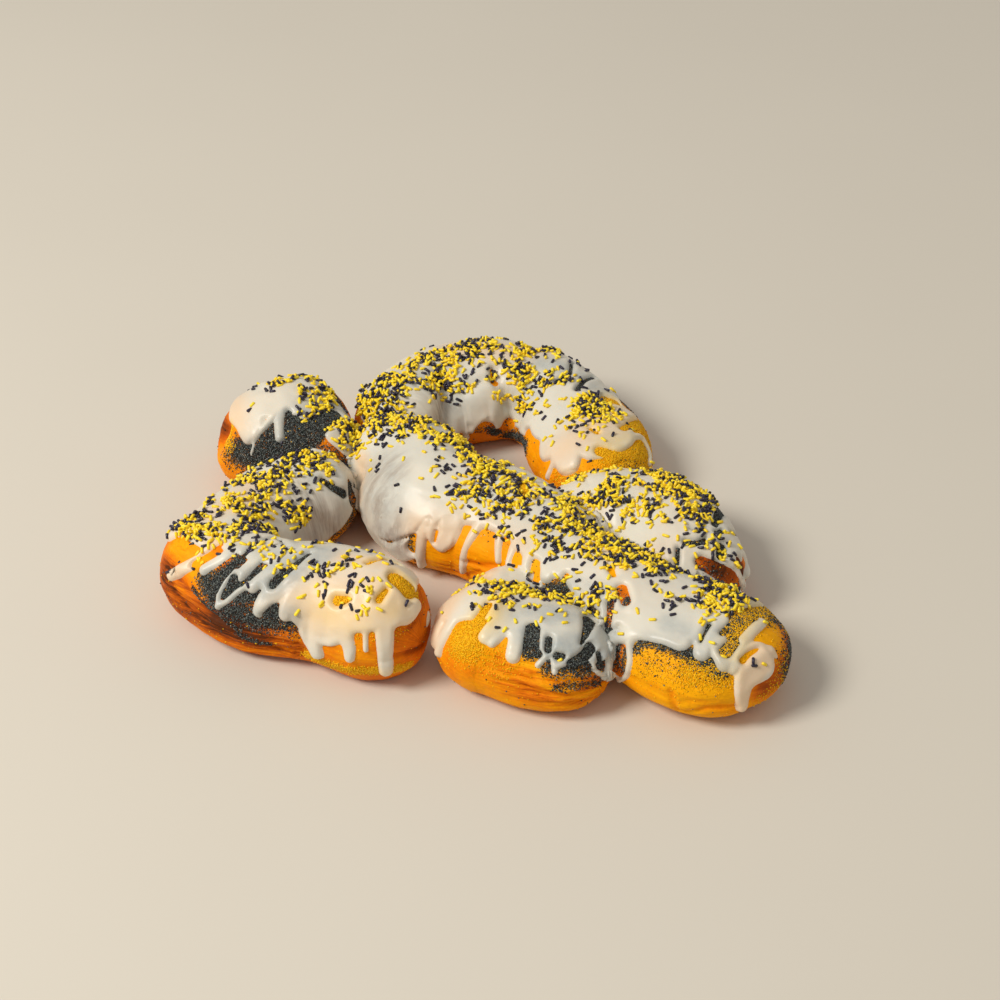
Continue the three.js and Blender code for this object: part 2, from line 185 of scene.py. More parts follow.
# Runs of icing that flow past the poured edge.
RUNS = stroke_rows(
    # the lower petal
    ((205, 522, 186, 528, 176, 533), (18, 14)),
    ((219, 541, 199, 560, 174, 575), (9, 7.4)),
    ((246, 543, 226, 556, 205, 570), (8, 6.8)),
    ((272, 548, 257, 560, 242, 575), (8.6, 8)),
    ((236, 572, 224, 585, 219, 597, 219, 606), (3, 2.4)),
    ((219, 606, 229, 600, 238, 592, 248, 585), (2.8, 3)),
    ((297, 560, 280, 566, 264, 577, 253, 587), (9, 7.4)),
    ((262, 582, 272, 590), (5, 6)),
    ((300, 578, 280, 590, 265, 600, 259, 611), (15, 7.6)),
    ((300, 592, 290, 603, 286, 614), (14, 8.6)),
    # the rounded end of the lower petal
    ((310, 596, 340, 590, 385, 592), (24, 26)),
    ((308, 612, 345, 614, 388, 610), 24),
    ((310, 632, 328, 636, 346, 630), (14, 12)),
    ((312, 622, 312, 640, 318, 652), (18, 9)),
    ((342, 628, 349, 645, 350, 657), (12, 6)),
    ((366, 628, 366, 649), (3.4, 2.8)),
    ((384, 620, 385, 647, 386, 670), (12, 8.4)),
    ((395, 610, 405, 616, 414, 606), (12, 10)),
    # the bud
    ((246, 400, 244, 420, 249, 437), (20, 10)),
    ((252, 410, 257, 424, 255, 435), (13, 8)),
    # the spine
    ((376, 534, 391, 549, 402, 559), (22, 14)),
    ((430, 528, 438, 541), 10),
    ((452, 520, 449, 536, 442, 545), (17, 9)),
    ((480, 524, 467, 548, 464, 560, 464, 569), (6, 4.4)),
    ((500, 536, 499, 560), (6, 4)),
    ((517, 542, 511, 556, 509, 565), (6.4, 4)),
    ((531, 545, 528, 560, 527, 568), (8.4, 6)),
    ((552, 556, 548, 575), (14, 11)),
    # the lower foot
    ((482, 584, 452, 600, 441, 618, 438, 640), (28, 12)),
    ((486, 590, 462, 608, 448, 630, 440, 652), (12, 6)),
    ((515, 605, 500, 622, 486, 637), (16, 9)),
    ((510, 615, 498, 636, 492, 643), (10, 5.4)),
    ((521, 612, 517, 640, 513, 656), (12, 8.6)),
    ((565, 605, 562, 630, 566, 645), (26, 17)),
    ((552, 651, 545, 658, 538, 665), (3.4, 2.8)),
    ((544, 634, 543, 645, 546, 654), 1.8),
    ((553, 651, 555, 672), 3),
    ((573, 654, 565, 663, 557, 666), (3.2, 2.8)),
    ((598, 633, 589, 640, 579, 649), (4, 3.4)),
    ((598, 622, 602, 640, 607, 650), 12),
    ((594, 640, 592, 655, 593, 667, 600, 674, 606, 676), (2.8, 2.6)),
    ((607, 648, 609, 662, 606, 674), (10, 6)),
    ((605, 676, 612, 674, 621, 678), (3, 2.6)),
    ((614, 594, 617, 609, 617, 625), 3),
    ((616, 638, 634, 634), 9),
    ((634, 632, 630, 645, 630, 662, 627, 675, 621, 678), (5, 2.8)),
    # the stem
    ((640, 626, 668, 630, 700, 628), (18, 16)),
    ((660, 628, 681, 641), (18, 13)),
    ((710, 628, 704, 644, 702, 653), (11, 10.4)),
    ((716, 640, 722, 656, 724, 664), (13, 9.5)),
    ((727, 660, 737, 663), 8),
    ((761, 623, 751, 633, 740, 646, 734, 657, 733, 668), (6.6, 7.4)),
    ((738, 660, 746, 650, 758, 646, 768, 652), (4, 5)),
    ((758, 664, 748, 674, 743, 686, 741, 706), (22, 7)),
    ((768, 652, 774, 662, 776, 669), (7.4, 7)),
    ((736, 606, 756, 607, 770, 612), (8, 6.6)),
    # the upper foot
    ((706, 540, 709, 552, 712, 559), (12, 9)),
    ((728, 552, 733, 564, 740, 578, 741, 587), (5, 4.6)),
    ((737, 549, 747, 563, 749, 575), (6, 5)),
    ((690, 578, 712, 577), (10, 8)),
    # the upper petal's end
    ((570, 425, 566, 450, 568, 463), (34, 18)),
    ((550, 430, 548, 452), 14),
    ((554, 464, 549, 477), (4, 3.4)),
    ((616, 412, 630, 418), (18, 14)),
    ((590, 443, 610, 448, 640, 438, 648, 452, 648, 464), (6, 3.6)),
)

# Runs that cross a bare place.
CROSSING_RUNS = stroke_rows(
    ((428, 522, 423, 534, 421, 548, 422, 563), (7.5, 6)),
    ((282, 406, 279, 422, 280, 438), (6.4, 5.6)),
    ((277, 410, 271, 420, 265, 428), (3.4, 2.8)),
)

# Bare places inside the poured icing.
BARE_GAPS = stroke_rows(
    ((242, 385, 231, 399, 226, 420), (5, 8)),
    # the lower petal
    ((222, 546, 210, 555, 196, 565), (4, 8)),
    ((349, 487, 352, 499), 12),
    ((331, 657, 333, 650), (4, 3)),
    ((360, 656, 360, 640), (5, 4.4)),
    ((373, 654, 373, 640), (4.6, 4)),
    # the upper petal
    ((493, 370, 495, 382), (6.4, 8)),
    ((481, 449, 495, 437, 509, 424), (6, 10)),
    ((528, 436, 534, 454, 538, 475), 12),
    # the spine
    ((430, 520, 419, 531), (2, 4)),
    ((416, 537, 412, 548, 411, 561), (6.5, 10)),
    ((437, 532, 435, 541), (4, 3.4)),
    ((431, 562, 442, 558, 456, 551, 462, 538), (6, 5)),
    ((478, 566, 483, 548, 487, 536), (9, 3.6)),
    ((492, 566, 491, 554), 5),
    ((505, 568, 505, 560), (3.6, 3.4)),
    ((517, 567, 519, 559), (5, 4)),
    ((537, 580, 538, 571), (7, 6)),
    ((561, 585, 567, 576), 5),
    ((611, 570, 614, 577), (6, 5)),
    # the lower foot
    ((489, 606, 478, 622, 467, 641), (6, 10)),
    ((611, 604, 610, 617, 608, 631), (6.4, 5)),
    ((622, 590, 626, 602), (9, 8)),
    ((620, 627, 618, 632), 3),
    ((598, 655, 600, 666), (6, 5.6)),
    ((620, 648, 620, 660, 619, 672), (7, 9)),
    # the stem and the upper foot
    ((742, 661, 748, 655, 757, 650), (6, 5)),
    ((702, 563, 714, 569, 729, 578), (11, 14)),
    ((737, 561, 741, 572), 7),
)

# The same, with dark sugar in them.
DARK_GAPS = stroke_rows(
    # the lower petal
    ((250, 552, 237, 563, 224, 575, 215, 588), (4, 9)),
    ((249, 551, 262, 543, 276, 541, 287, 549), (2.6, 3)),
    ((267, 559, 256, 569, 249, 577, 242, 585), (2.6, 3)),
    ((310, 555, 297, 564, 285, 574, 273, 585), (4, 7)),
    ((234, 579, 229, 588, 225, 597), (8, 3)),
    ((322, 481, 332, 488, 342, 494), (5.4, 8)),
    ((266, 616, 274, 608), (7, 6)),
    # the bud
    ((270, 460, 300, 440, 334, 416), (30, 14)),
    ((262, 446, 269, 434, 288, 414), (12, 7)),
    # the upper petal
    ((471, 423, 478, 427), (5, 4)),
    ((487, 425, 497, 432), (5, 4)),
    ((571, 365, 568, 377, 556, 383), (4, 5)),
    ((593, 379, 583, 383, 577, 391), (4, 5)),
    ((416, 388, 429, 394), 4),
    # the lower foot
    ((533, 630, 531, 648), (11, 12)),
    ((549, 640, 548, 650), 6),
    ((588, 622, 586, 632, 581, 644), (10.5, 3)),
    ((590, 648, 584, 656, 572, 664), (9, 8)),
    ((557, 656, 563, 656), (6, 5)),
    ((592, 609, 598, 614), 5),
    # the stem
    ((709, 626, 701, 642), (4.4, 3.4)),
    ((722, 634, 735, 624, 752, 617), (5, 9)),
    ((726, 652, 734, 643), (10, 8)),
    ((729, 597, 742, 596), (9, 8)),
    # the upper foot
    ((723, 511, 717, 517, 714, 526), (9, 6)),
    ((716, 534, 721, 532), 5),
    ((738, 529, 736, 537, 729, 534), (6, 4)),
    ((741, 541, 745, 549), 3),
    ((686, 543, 696, 544, 704, 541), (6, 5)),
    ((690, 530, 698, 533, 703, 526), 3.4),
    ((678, 550, 677, 564), 4.4),
    ((721, 548, 719, 557), (8, 7)),
)

# The same, with yellow sugar in them.
YELLOW_GAPS = stroke_rows(
    ((395, 580, 407, 590), (12, 14)),
    ((368, 565, 382, 562, 397, 566), (4, 5)),
    ((338, 601, 347, 600), (8, 6)),
    ((379, 600, 386, 591), (6, 4.4)),
    ((523, 486, 524, 498), (9, 8)),
    ((306, 378, 325, 384, 341, 397), (6, 7)),
    ((266, 384, 275, 386), (6, 5)),
    ((622, 430, 638, 424), (6, 8)),
    ((600, 452, 620, 458, 640, 452), (9, 12)),
    ((597, 434, 591, 430), 4),
    ((604, 400, 615, 404), 9),
)

GAP_SUGAR = 1.1  # strength of the sugar in a gap of the icing


def widened(gaps: Sequence[Stroke], extra: float, soft: float) -> tuple[Stroke, ...]:
    """The sugar that shows in gaps: the same strokes, wider by an extra and a little stronger."""
    return tuple(replace(gap, widths=(gap.widths[0] + extra, gap.widths[1] + extra),
                         soft=soft, amount=GAP_SUGAR) for gap in gaps)


# Dark sugar on the crust, seen bare and through thin icing; the broad faint strokes on the spine
# and on the petals' inner walls also grey the icing there as painted shade.
DARK_SUGAR_AND_SHADE = stroke_rows(
    # the lower petal
    ((207, 578, 214, 596, 233, 610, 261, 618, 292, 616), (14, 18), 1.1, 7),
    ((225, 585, 250, 585, 285, 575, 320, 556), (26, 22), 1.25, 6),
    ((240, 552, 280, 552, 330, 530), 14, 1, 8),
    # painted shade with dark sugar: the lower petal's inner wall
    ((330, 485, 345, 510, 335, 540), (30, 24), 0.75, 12),
    ((315, 480, 340, 495, 352, 485), (12, 10), 1, 5),
    ((193, 588, 205, 603, 215, 614), (3, 2.8), 1.2, 2),
    ((216, 613, 228, 623, 240, 630), 2.4, 0.9, 2),
    ((238, 634, 256, 641, 268, 643), (4.6, 5), 1, 2.6),
    ((280, 622, 296, 628), (14, 10), 0.55, 8),
    # the bud
    ((244, 452, 262, 452, 285, 436, 310, 420, 334, 404), (22, 30), 1.15, 8),
    ((240, 456, 262, 462, 280, 450), (14, 20), 0.5, 12),
    ((296, 450, 318, 428), 16, 0.8, 8),
    # the upper petal
    # painted shade with dark sugar: the upper petal's inner wall
    ((380, 395, 420, 380, 454, 390, 456, 415), (24, 30), 0.7, 12),
    ((545, 365, 575, 378, 600, 394), (18, 16), 1, 6),
    ((500, 410, 515, 400, 532, 395), 16, 0.8, 8),
    ((440, 352, 420, 362, 390, 380), (12, 16), 0.7, 8),
    ((496, 446, 508, 436), 8, 1.1, 5),
    # the spine
    # painted shade with dark sugar: these broad strokes grey the icing on the spine
    ((380, 470, 384, 500, 388, 530, 392, 552), (40, 18), 0.7, 12),
    ((430, 430, 460, 450, 495, 470), (22, 18), 0.75, 10),
    ((450, 490, 500, 515, 545, 540), 18, 0.4, 12),
    ((430, 520, 412, 534, 406, 552), 3, 0.9, 2),
    # the lower foot
    ((520, 590, 560, 592, 600, 600), (16, 24), 1, 7),
    ((530, 635, 555, 648, 590, 650, 602, 640), (20, 26), 1.3, 5),
    ((512, 612, 540, 618, 590, 618), (16, 26), 1, 7),
    ((548, 667, 575, 668, 600, 666), 10, 0.85, 5),
    ((556, 688, 577, 686, 601, 681), (5, 4), 0.75, 3),
    ((604, 600, 612, 625, 612, 660), (14, 16), 0.6, 6),
    ((626, 650, 625, 672), 4, 1, 3),
    ((628, 600, 624, 608), 5, 1.1, 3),
    # the stem
    ((636, 648, 648, 640, 662, 643, 686, 652, 704, 660, 722, 668), (6, 12), 1.2, 5),
    ((670, 625, 700, 640, 716, 632), (16, 12), 1, 6),
    ((720, 650, 732, 630, 752, 612, 776, 616), 14, 0.7, 7),
    ((650, 660, 690, 670, 725, 674), (14, 10), 0.16, 10),
    ((752, 612, 780, 632, 786, 664), (18, 20), 0.7, 9),
    # the far sides
    ((0.15, 74, 0.4, 80, 0.6, 76), (18, 16), 0.6, 8, "bud"),
    ((0.3, 68, 0.6, 72, 0.9, 66), (22, 20), 0.65, 12, "petal_up_arm"),
    ((0.2, 66, 0.5, 70), 20, 0.6, 12, "petal_up_end"),
    ((0.2, -66, 0.6, -62), 18, 0.5, 12, "petal_down_arm"),
    ((0.35, 78, 0.7, 80), (24, 22), 0.7, 12, "foot_up"),
    ((0.5, 84, 0.9, 66), (22, 20), 0.6, 12, "stem"),
) + widened(DARK_GAPS, extra=3, soft=2.5)

# Yellow sugar on the crust.
YELLOW_SUGAR = stroke_rows(
    ((308, 655, 338, 666, 363, 671, 387, 669, 407, 665), 6, 1.1, 4),
    ((500, 606, 484, 622, 466, 642), (16, 22), 1.15, 10),
    ((455, 645, 500, 660), 14, 0.3, 16),
    ((604, 398, 616, 406), 14, 1, 6),
    ((606, 448, 632, 444, 640, 462), (16, 20), 0.8, 10),
    ((560, 478, 610, 474, 640, 468), (10, 12), 0.6, 8),
    ((262, 384, 278, 384), (12, 10), 1, 5),
    ((232, 424, 229, 436, 232, 446), (6, 8), 1.1, 3),
    ((730, 652, 742, 626, 766, 616, 784, 636), 16, 1, 7),
    ((690, 674, 712, 674, 724, 672), (16, 14), 0.8, 8),
    ((648, 664, 680, 680), (20, 16), 0.2, 16),
    ((778, 660, 770, 680, 760, 695), (12, 8), 0.3, 8),
    ((318, 606, 350, 614, 385, 608), 26, 0.5, 14),
    ((0.78, 84, 0.95, 78), 16, 0.5, 8, "stem"),
    ((0.7, 60, 0.95, 62), 20, 0.6, 12, "petal_up_end"),
) + widened(YELLOW_GAPS, extra=4, soft=4)

# Where the crust is browner (or, below nothing, paler) than its roll, with painted shade on the
# stem's right end, which faces away from the key light.
BROWNING_AND_SHADE = stroke_rows(
    ((215, 615, 255, 640, 296, 646), (26, 24), 0.12, 16),
    ((176, 548, 195, 556, 205, 580), 16, -0.45, 12),
    ((166, 572, 174, 602, 202, 632, 244, 654), 20, 0.46, 10),
    ((394, 630, 415, 620, 421, 600), (22, 20), 0.3, 12),
    ((410, 655, 425, 635), 12, 0.15, 8),
    ((350, 655, 370, 658), 10, -0.2, 6),
    ((222, 428, 226, 402, 240, 386), (20, 16), 0.45, 8),
    ((228, 462, 250, 474), (18, 16), -0.12, 12),
    ((306, 378, 325, 384, 341, 397), 8, 0.2, 5),
    ((440, 655, 480, 672, 520, 690), (26, 22), 0.22, 16),
    ((520, 690, 560, 703, 600, 696, 622, 682), (14, 12), 0.22, 10),
    ((640, 700, 680, 711, 730, 710), 10, 0.22, 9),
    # painted shade: the stem's right end, turned away from the key light, is darkened as if browner
    ((782, 628, 788, 655, 778, 694), (26, 22), 0.85, 9),
    ((655, 665, 690, 684, 728, 690), (26, 22), -0.3, 12),
    ((724, 690, 732, 676), (10, 8), 0.25, 6),
    ((700, 561, 714, 568), 16, 0.16, 6),
    ((716, 566, 728, 574), (14, 12), 0.34, 6),
    ((737, 561, 741, 572), 9, 0.6, 4),
    ((622, 590, 626, 604), 10, 0.5, 5),
    ((611, 604, 608, 631), (9, 8), 0.6, 4),
    ((620, 645, 619, 672), 10, 0.55, 5),
    ((598, 655, 600, 666), 8, 0.5, 4),
    ((560, 478, 600, 484, 630, 476), 10, 0.3, 8),
    ((583, 458, 590, 450, 598, 458, 590, 466, 583, 458), 3, 0.2, 3),
    ((525, 440, 536, 474), 10, 0.12, 8),
    ((350, 490, 362, 512, 363, 545), 9, 0.15, 5),
)

# Folds and seams pressed into the crust: amount is their depth in millimetres.
FOLDS = stroke_rows(
    ((174, 568, 190, 592, 213, 614, 237, 628, 269, 638, 296, 644), 4.4, 1.8),
    ((168, 568, 180, 598, 201, 620, 229, 640, 261, 650, 288, 653), 4, 1.5),
    ((176, 590, 192, 606, 207, 619), 3.4, 1.1),
    ((219, 628, 244, 639, 262, 646, 280, 648), 3.4, 1.1),
    ((250, 622, 275, 630, 294, 632), 3.2, 0.8),
    ((266, 647, 290, 650, 300, 656), 3.2, 1.2),
    ((394, 656, 409, 652, 425, 643), 4, 2),
    ((380, 660, 396, 657), 3, 1),
    ((406, 630, 414, 622), 3, 0.8),
    ((465, 560, 483, 565, 506, 568), 5, 2.2),
    ((441, 568, 461, 574, 490, 580), 4, 1.2),
    ((497, 658, 533, 684, 569, 699, 599, 695), 4.4, 1.4),
    ((533, 676, 562, 686, 602, 681), 4, 1.3),
    ((512, 676, 547, 698, 584, 702), 4, 1.1),
    ((520, 668, 552, 680, 590, 678, 612, 672), 3.4, 1),
    ((540, 694, 575, 692, 610, 684), 3.4, 1),
    ((500, 668, 530, 690, 560, 705), 3.4, 0.8),
    ((660, 706, 680, 710, 709, 708, 738, 705), 4.4, 1.8),
    ((676, 704, 690, 700, 716, 700), 3, 0.8),
    ((555, 482, 575, 470, 590, 486), 3.4, 1),
    ((604, 484, 622, 462, 640, 466), 4, 1),
)

# Broad lumps of the dough, or, below nothing, hollows: amount is their height in millimetres.
LUMPS = stroke_rows(
    ((442, 374, 446, 398, 442, 426), 15, -6.5),
    ((497, 372, 506, 392, 510, 418), 13, -4.5),
    ((422, 402, 428, 418), 26, 3.6),
    ((481, 391, 483, 420), 30, 3.8),
    ((462, 392, 478, 384, 497, 378), 7, -2.2),
    ((330, 468, 340, 482), (20, 16), 2.4),
    ((362, 468, 360, 500), 9, -2.8),
    ((302, 620, 302, 650), 9, -1.5),
    ((224, 452, 228, 466), 28, 5),
    ((231, 392, 226, 410), 22, 6.5),
    ((224, 433, 222, 440), 17, -9),
    ((774, 620, 784, 645, 778, 676), 36, 5.5),
    ((470, 548, 485, 552), (20, 16), 1.8),
    ((352, 488, 350, 500), 10, -1.6),
)

# Wrinkled zones of the crust.
WRINKLES = stroke_rows(
    ((170, 575, 190, 612, 240, 640, 290, 648), (22, 26), 1, 10),
    ((500, 672, 540, 690, 600, 690), (22, 24), 1, 10),
    ((520, 664, 590, 672), 16, 0.8, 8),
    ((440, 568, 500, 580), 12, 0.6, 6),
    ((0.5, 100, 0.95, 100), 26, 0.8, 12, "petal_up_arm"),
    ((0.4, 100, 0.9, 100), 22, 0.7, 12, "foot_up"),
)

# Icing that is tinted peach.
PEACH = stroke_rows(
    ((236, 392, 238, 418, 243, 436), (24, 14), 0.9, 12),
    ((270, 382, 300, 378, 332, 386), (12, 10), 0.8, 8),
    ((221, 541, 199, 560, 174, 575), 14, 1, 7),
    ((180, 535, 210, 515, 250, 490), (22, 16), 0.7, 12),
    ((312, 604, 345, 600, 385, 602), 46, 0.75, 16),
    ((340, 560, 392, 572), 16, 0.8, 8),
    ((480, 584, 452, 604, 438, 645), (26, 16), 1, 8),
    ((764, 650, 750, 672, 742, 706), (22, 14), 1.6, 5),
    ((364, 462, 364, 498), (12, 10), 1.2, 6),
    ((425, 530, 470, 535, 520, 545), (30, 24), 0.7, 12),
    ((450, 350, 500, 352, 535, 352), 22, 0.8, 12),
    ((565, 450, 600, 428, 640, 420), (30, 24), 0.7, 14),
    ((620, 560, 660, 560), 20, 0.5, 12),
)

# Icing that is so thin that the crust shows through, and icing in hollows and on inner walls
# darkened to the same brownish grey as painted shade.
THIN_AND_SHADED = stroke_rows(
    ((296, 502, 325, 528, 345, 545), (30, 24), 1, 12),
    ((384, 478, 386, 520, 390, 552), (38, 26), 0.9, 12),
    ((448, 368, 442, 392, 437, 424), 13, 1.2, 7),
    ((400, 400, 420, 400), 18, 0.5, 10),
    ((495, 376, 506, 398), 10, 0.7, 6),
    ((345, 535, 360, 545), (10, 8), 0.8, 5),
)

# Where sprinkles lie thick.
SPRINKLED = stroke_rows(
    ((196, 532, 225, 508, 262, 488, 300, 466, 332, 444), (38, 30), 1, 12),
    ((228, 530, 262, 520, 290, 508), 24, 0.9, 12),
    ((240, 548, 280, 562, 310, 572, 345, 572), (14, 16), 0.45, 9),
    ((318, 575, 340, 590, 360, 600), (16, 20), 0.42, 10),
    ((274, 388, 296, 391, 322, 399, 344, 410), (13, 18), 0.8, 7),
    ((250, 378, 262, 400, 266, 412), 5, 0.25, 5),
    ((330, 425, 370, 415, 400, 425, 440, 440, 475, 458), (44, 40), 1, 14),
    ((330, 450, 350, 448, 385, 452), 18, 0.7, 12),
    ((370, 408, 385, 388, 420, 366, 460, 352, 500, 348, 545, 358), (22, 18), 1, 9),
    ((372, 402, 398, 393, 416, 386), (20, 12), 0.7, 9),
    ((470, 424, 484, 424), 8, 0.5, 4),
    ((524, 366, 556, 390, 578, 402, 598, 414), (32, 28), 0.95, 10),
    ((505, 405, 540, 412, 575, 420), 18, 0.7, 9),
    ((470, 470, 500, 488, 530, 510, 570, 530, 620, 552), (42, 46), 1, 14),
    ((600, 500, 630, 484, 655, 480, 690, 492), (30, 34), 1, 14),
    ((660, 505, 690, 512, 700, 528), (34, 28), 0.9, 14),
    ((590, 540, 640, 555, 670, 575, 706, 592, 724, 600), (36, 34), 1, 14),
    ((462, 588, 480, 600, 500, 610), 14, 0.6, 9),
    ((500, 590, 540, 596, 580, 596, 612, 600), (18, 20), 0.95, 10),
    ((520, 620, 560, 622), 20, 0.15, 10),
    ((0.1, 18, 0.9, 24), 22, 0.45, 12, "petal_up_arm"),
    ((0.25, 26, 0.8, 26), 30, 0.7, 14, "foot_up"),
    ((0.2, -26, 0.55, -24), (22, 20), 0.5, 12, "bud"),
    ((0.2, -34, 0.6, -24), 20, 0.6, 12, "petal_down_arm"),
)


# ---- curves, rolls and noise ----


class Spline:
    """A centripetal Catmull-Rom curve through points."""

    SAME = 1e-4  # points closer than this count as one

    def __init__(self, points: Sequence[Sequence[float]]) -> None:
        """Keeps the points, with one more past each end.

        Args:
            points: what it runs through.
        """
        line = np.asarray(points, float)
        self.padded = np.vstack([2 * line[0] - line[1], line, 2 * line[-1] - line[-2]])
        self.spans = len(line) - 1

    def at(self, share: Array) -> Array:
        """Reads the curve.

        Args:
            share: how far through its spans each wanted point is, from 0 to 1.

        Returns:
            One point for each share.
        """
        place = np.clip(share, 0, 1) * self.spans
        span = np.minimum(place.astype(int), self.spans - 1)
        w = (place - span)[:, None]
        p0, p1, p2, p3 = (self.padded[span + step] for step in range(4))
        d0, d1, d2 = (np.sqrt(np.linalg.norm(b - a, axis=1, keepdims=True))
                      for a, b in ((p0, p1), (p1, p2), (p2, p3)))
        d1 = np.where(d1 < self.SAME, 1.0, d1)
        d0 = np.where(d0 < self.SAME, d1, d0)
        d2 = np.where(d2 < self.SAME, d1, d2)
        t1 = ((p1 - p0) / d0 - (p2 - p0) / (d0 + d1) + (p2 - p1) / d1) * d1
        t2 = ((p2 - p1) / d1 - (p3 - p1) / (d1 + d2) + (p3 - p2) / d2) * d1
        square = -3 * p1 + 3 * p2 - 2 * t1 - t2
        cube = 2 * p1 - 2 * p2 + t1 + t2
        return p1 + t1 * w + square * w**2 + cube * w**3


@dataclass
class Places:
    """Where points lie on one roll.

    share is of its length, angle is in degrees round it (left is positive), descent in degrees
    down from its crest. radial is 1 on the roll's surface and more outside it. sideways is how
    much of the way out is across the roll, from 0 on a tip to 1 on a flank.
    """

    share: Array
    angle: Array
    descent: Array
    radial: Array
    sideways: Array


class Roll:
    """A roll of dough swept along its middle line."""

    STATIONS = 161
    FINE_STEPS = 801
    CHUNK = 40000  # points located at once
    CROWDING = 4  # how sharply the inner side of a bend is pushed together
    TINY = 1e-6
    SWELL = {"height": 1.3, "waves": 9, "lobes": 2, "twist": 5, "phase": 1.9}

    def __init__(self, shape: RollShape, index: int) -> None:
        """Measures the line and notes its frame at even stations along it.

        Args:
            shape: the roll's line and sizes.
            index: its place among the rolls, which varies its swells.
        """
        self.shape, self.index = shape, index
        path = Spline([point[:2] for point in shape.line])
        sizes = Spline([point[2:] for point in shape.line])
        fine = np.linspace(0, 1, self.FINE_STEPS)
        steps = np.linalg.norm(np.diff(path.at(fine), axis=0), axis=1)
        travelled = np.concatenate([[0], np.cumsum(steps)])
        self.length = float(travelled[-1])
        self.ends = shape.line[0][2], shape.line[-1][2]
        self.stations = np.linspace(0, 1, self.STATIONS)
        place = np.interp(self.stations * self.length, travelled, fine)
        self.centre = path.at(place)
        self.size = sizes.at(place)
        nudge = 1 / self.FINE_STEPS
        self.heading = unit(path.at(place + nudge) - path.at(place - nudge))
        behind = self._along(self.heading, self.stations - BEND_REACH)
        beyond = self._along(self.heading, self.stations + BEND_REACH)
        turning = behind[:, 0] * beyond[:, 1] - behind[:, 1] * beyond[:, 0]
        self.bend = turning / (2 * BEND_REACH * self.length)
        width, height = self.size.mean(0)
        self.girth = math.radians(1) * (width + height * (1 - FLANK)) / 2  # mm for each degree

    def _along(self, values: Array, share: Array) -> Array:
        """Reads values noted at the stations.

        Args:
            values: one, or one row, for each station.
            share: where they are read.

        Returns:
            A value or a row for each share.
        """
        if values.ndim == 1:
            return np.interp(share, self.stations, values)
        return np.column_stack([np.interp(share, self.stations, column) for column in values.T])

    def shrink(self, share: Array) -> Array:
        """How much of the section is left.

        Args:
            share: share of the length.

        Returns:
            1 along the roll, and less over its ends.
        """
        first, last = self.ends
        room = np.minimum(share * self.length / first, (1 - share) * self.length / last)
        return np.sqrt(np.clip(1 - (1 - np.clip(room, 0, 1)) ** 2, 0, 1))

    def profile(self, reach: Array) -> tuple[Array, Array]:
        """Steps evenly over the roll, round ends included.

        Args:
            reach: share of the way over both ends, from pole to pole.

        Returns:
            The share of the length and the share of the section there.
        """
        first, last = self.ends
        total = self.length + (math.pi / 2 - 1) * (first + last)
        start = np.clip(reach * total / first, 0, math.pi / 2)
        end = np.clip((1 - reach) * total / last, 0, math.pi / 2)
        straight = reach * total - first * (math.pi / 2 - 1)
        share = np.where(start < math.pi / 2, first * (1 - np.cos(start)),
                         np.where(end < math.pi / 2, self.length - last * (1 - np.cos(end)),
                                  straight))
        return share / self.length, np.minimum(np.sin(start), np.sin(end))

    def surface(self, share: Array, angle: Array, shrink: Array) -> Array:
        """Points on the roll's surface.

        Args:
            share: share of the length.
            angle: degrees from the crest, positive on the left.
            shrink: the share of the section left.

        Returns:
            One point for each share and angle.
        """
        centre = self._along(self.centre, share)
        heading = self._along(self.heading, share)
        width, height = self._along(self.size, share).T
        turn = np.radians(angle)
        swell = self.SWELL
        lobes = np.cos(swell["lobes"] * turn + swell["twist"] * share + self.index)
        waves = np.sin(swell["waves"] * share + swell["phase"] * self.index)
        out = (swell["height"] * waves * lobes - self._grooves(share, angle)) * shrink
        middle = height * FLANK
        free = np.sin(turn) * width * shrink
        crowding = np.maximum(0, free * self._along(self.bend, share))
        held = (1 + crowding**self.CROWDING) ** (1 / self.CROWDING)
        across = free / held + np.sin(turn) * out
        up = np.cos(turn)
        above = (height - middle + out) * up * shrink**CROWN
        below = (middle * TUCK * shrink + out) * up
        level = np.maximum(0, middle + np.where(up > 0, above, below))
        return np.column_stack([centre[:, 0] - heading[:, 1] * across,
                                centre[:, 1] + heading[:, 0] * across, level])

    def _grooves(self, share: Array, angle: Array) -> Array:
        """How deep the roll's long creases are.

        Args:
            share: share of the length.
            angle: degrees from the crest.

        Returns:
            Millimetres at each place.
        """
        turn = (angle + 180) % 360 - 180
        deepest = np.zeros(len(share))
        for start, end, middle, depth in self.shape.creases:
            begun = smoothstep(start, start + CREASE_FADE, share)
            left = 1 - smoothstep(end - CREASE_FADE, end, share)
            groove = depth * begun * left * np.exp(-(((turn - middle) / CREASE_HALF_WIDTH) ** 2))
            deepest = np.maximum(deepest, groove)
        return deepest

    def locate(self, points: Array) -> Places:
        """Finds where points lie on this roll."""
        parts = [self._locate(points[i:i + self.CHUNK]) for i in range(0, len(points), self.CHUNK)]
        return Places(*(np.concatenate(column) for column in zip(*parts)))

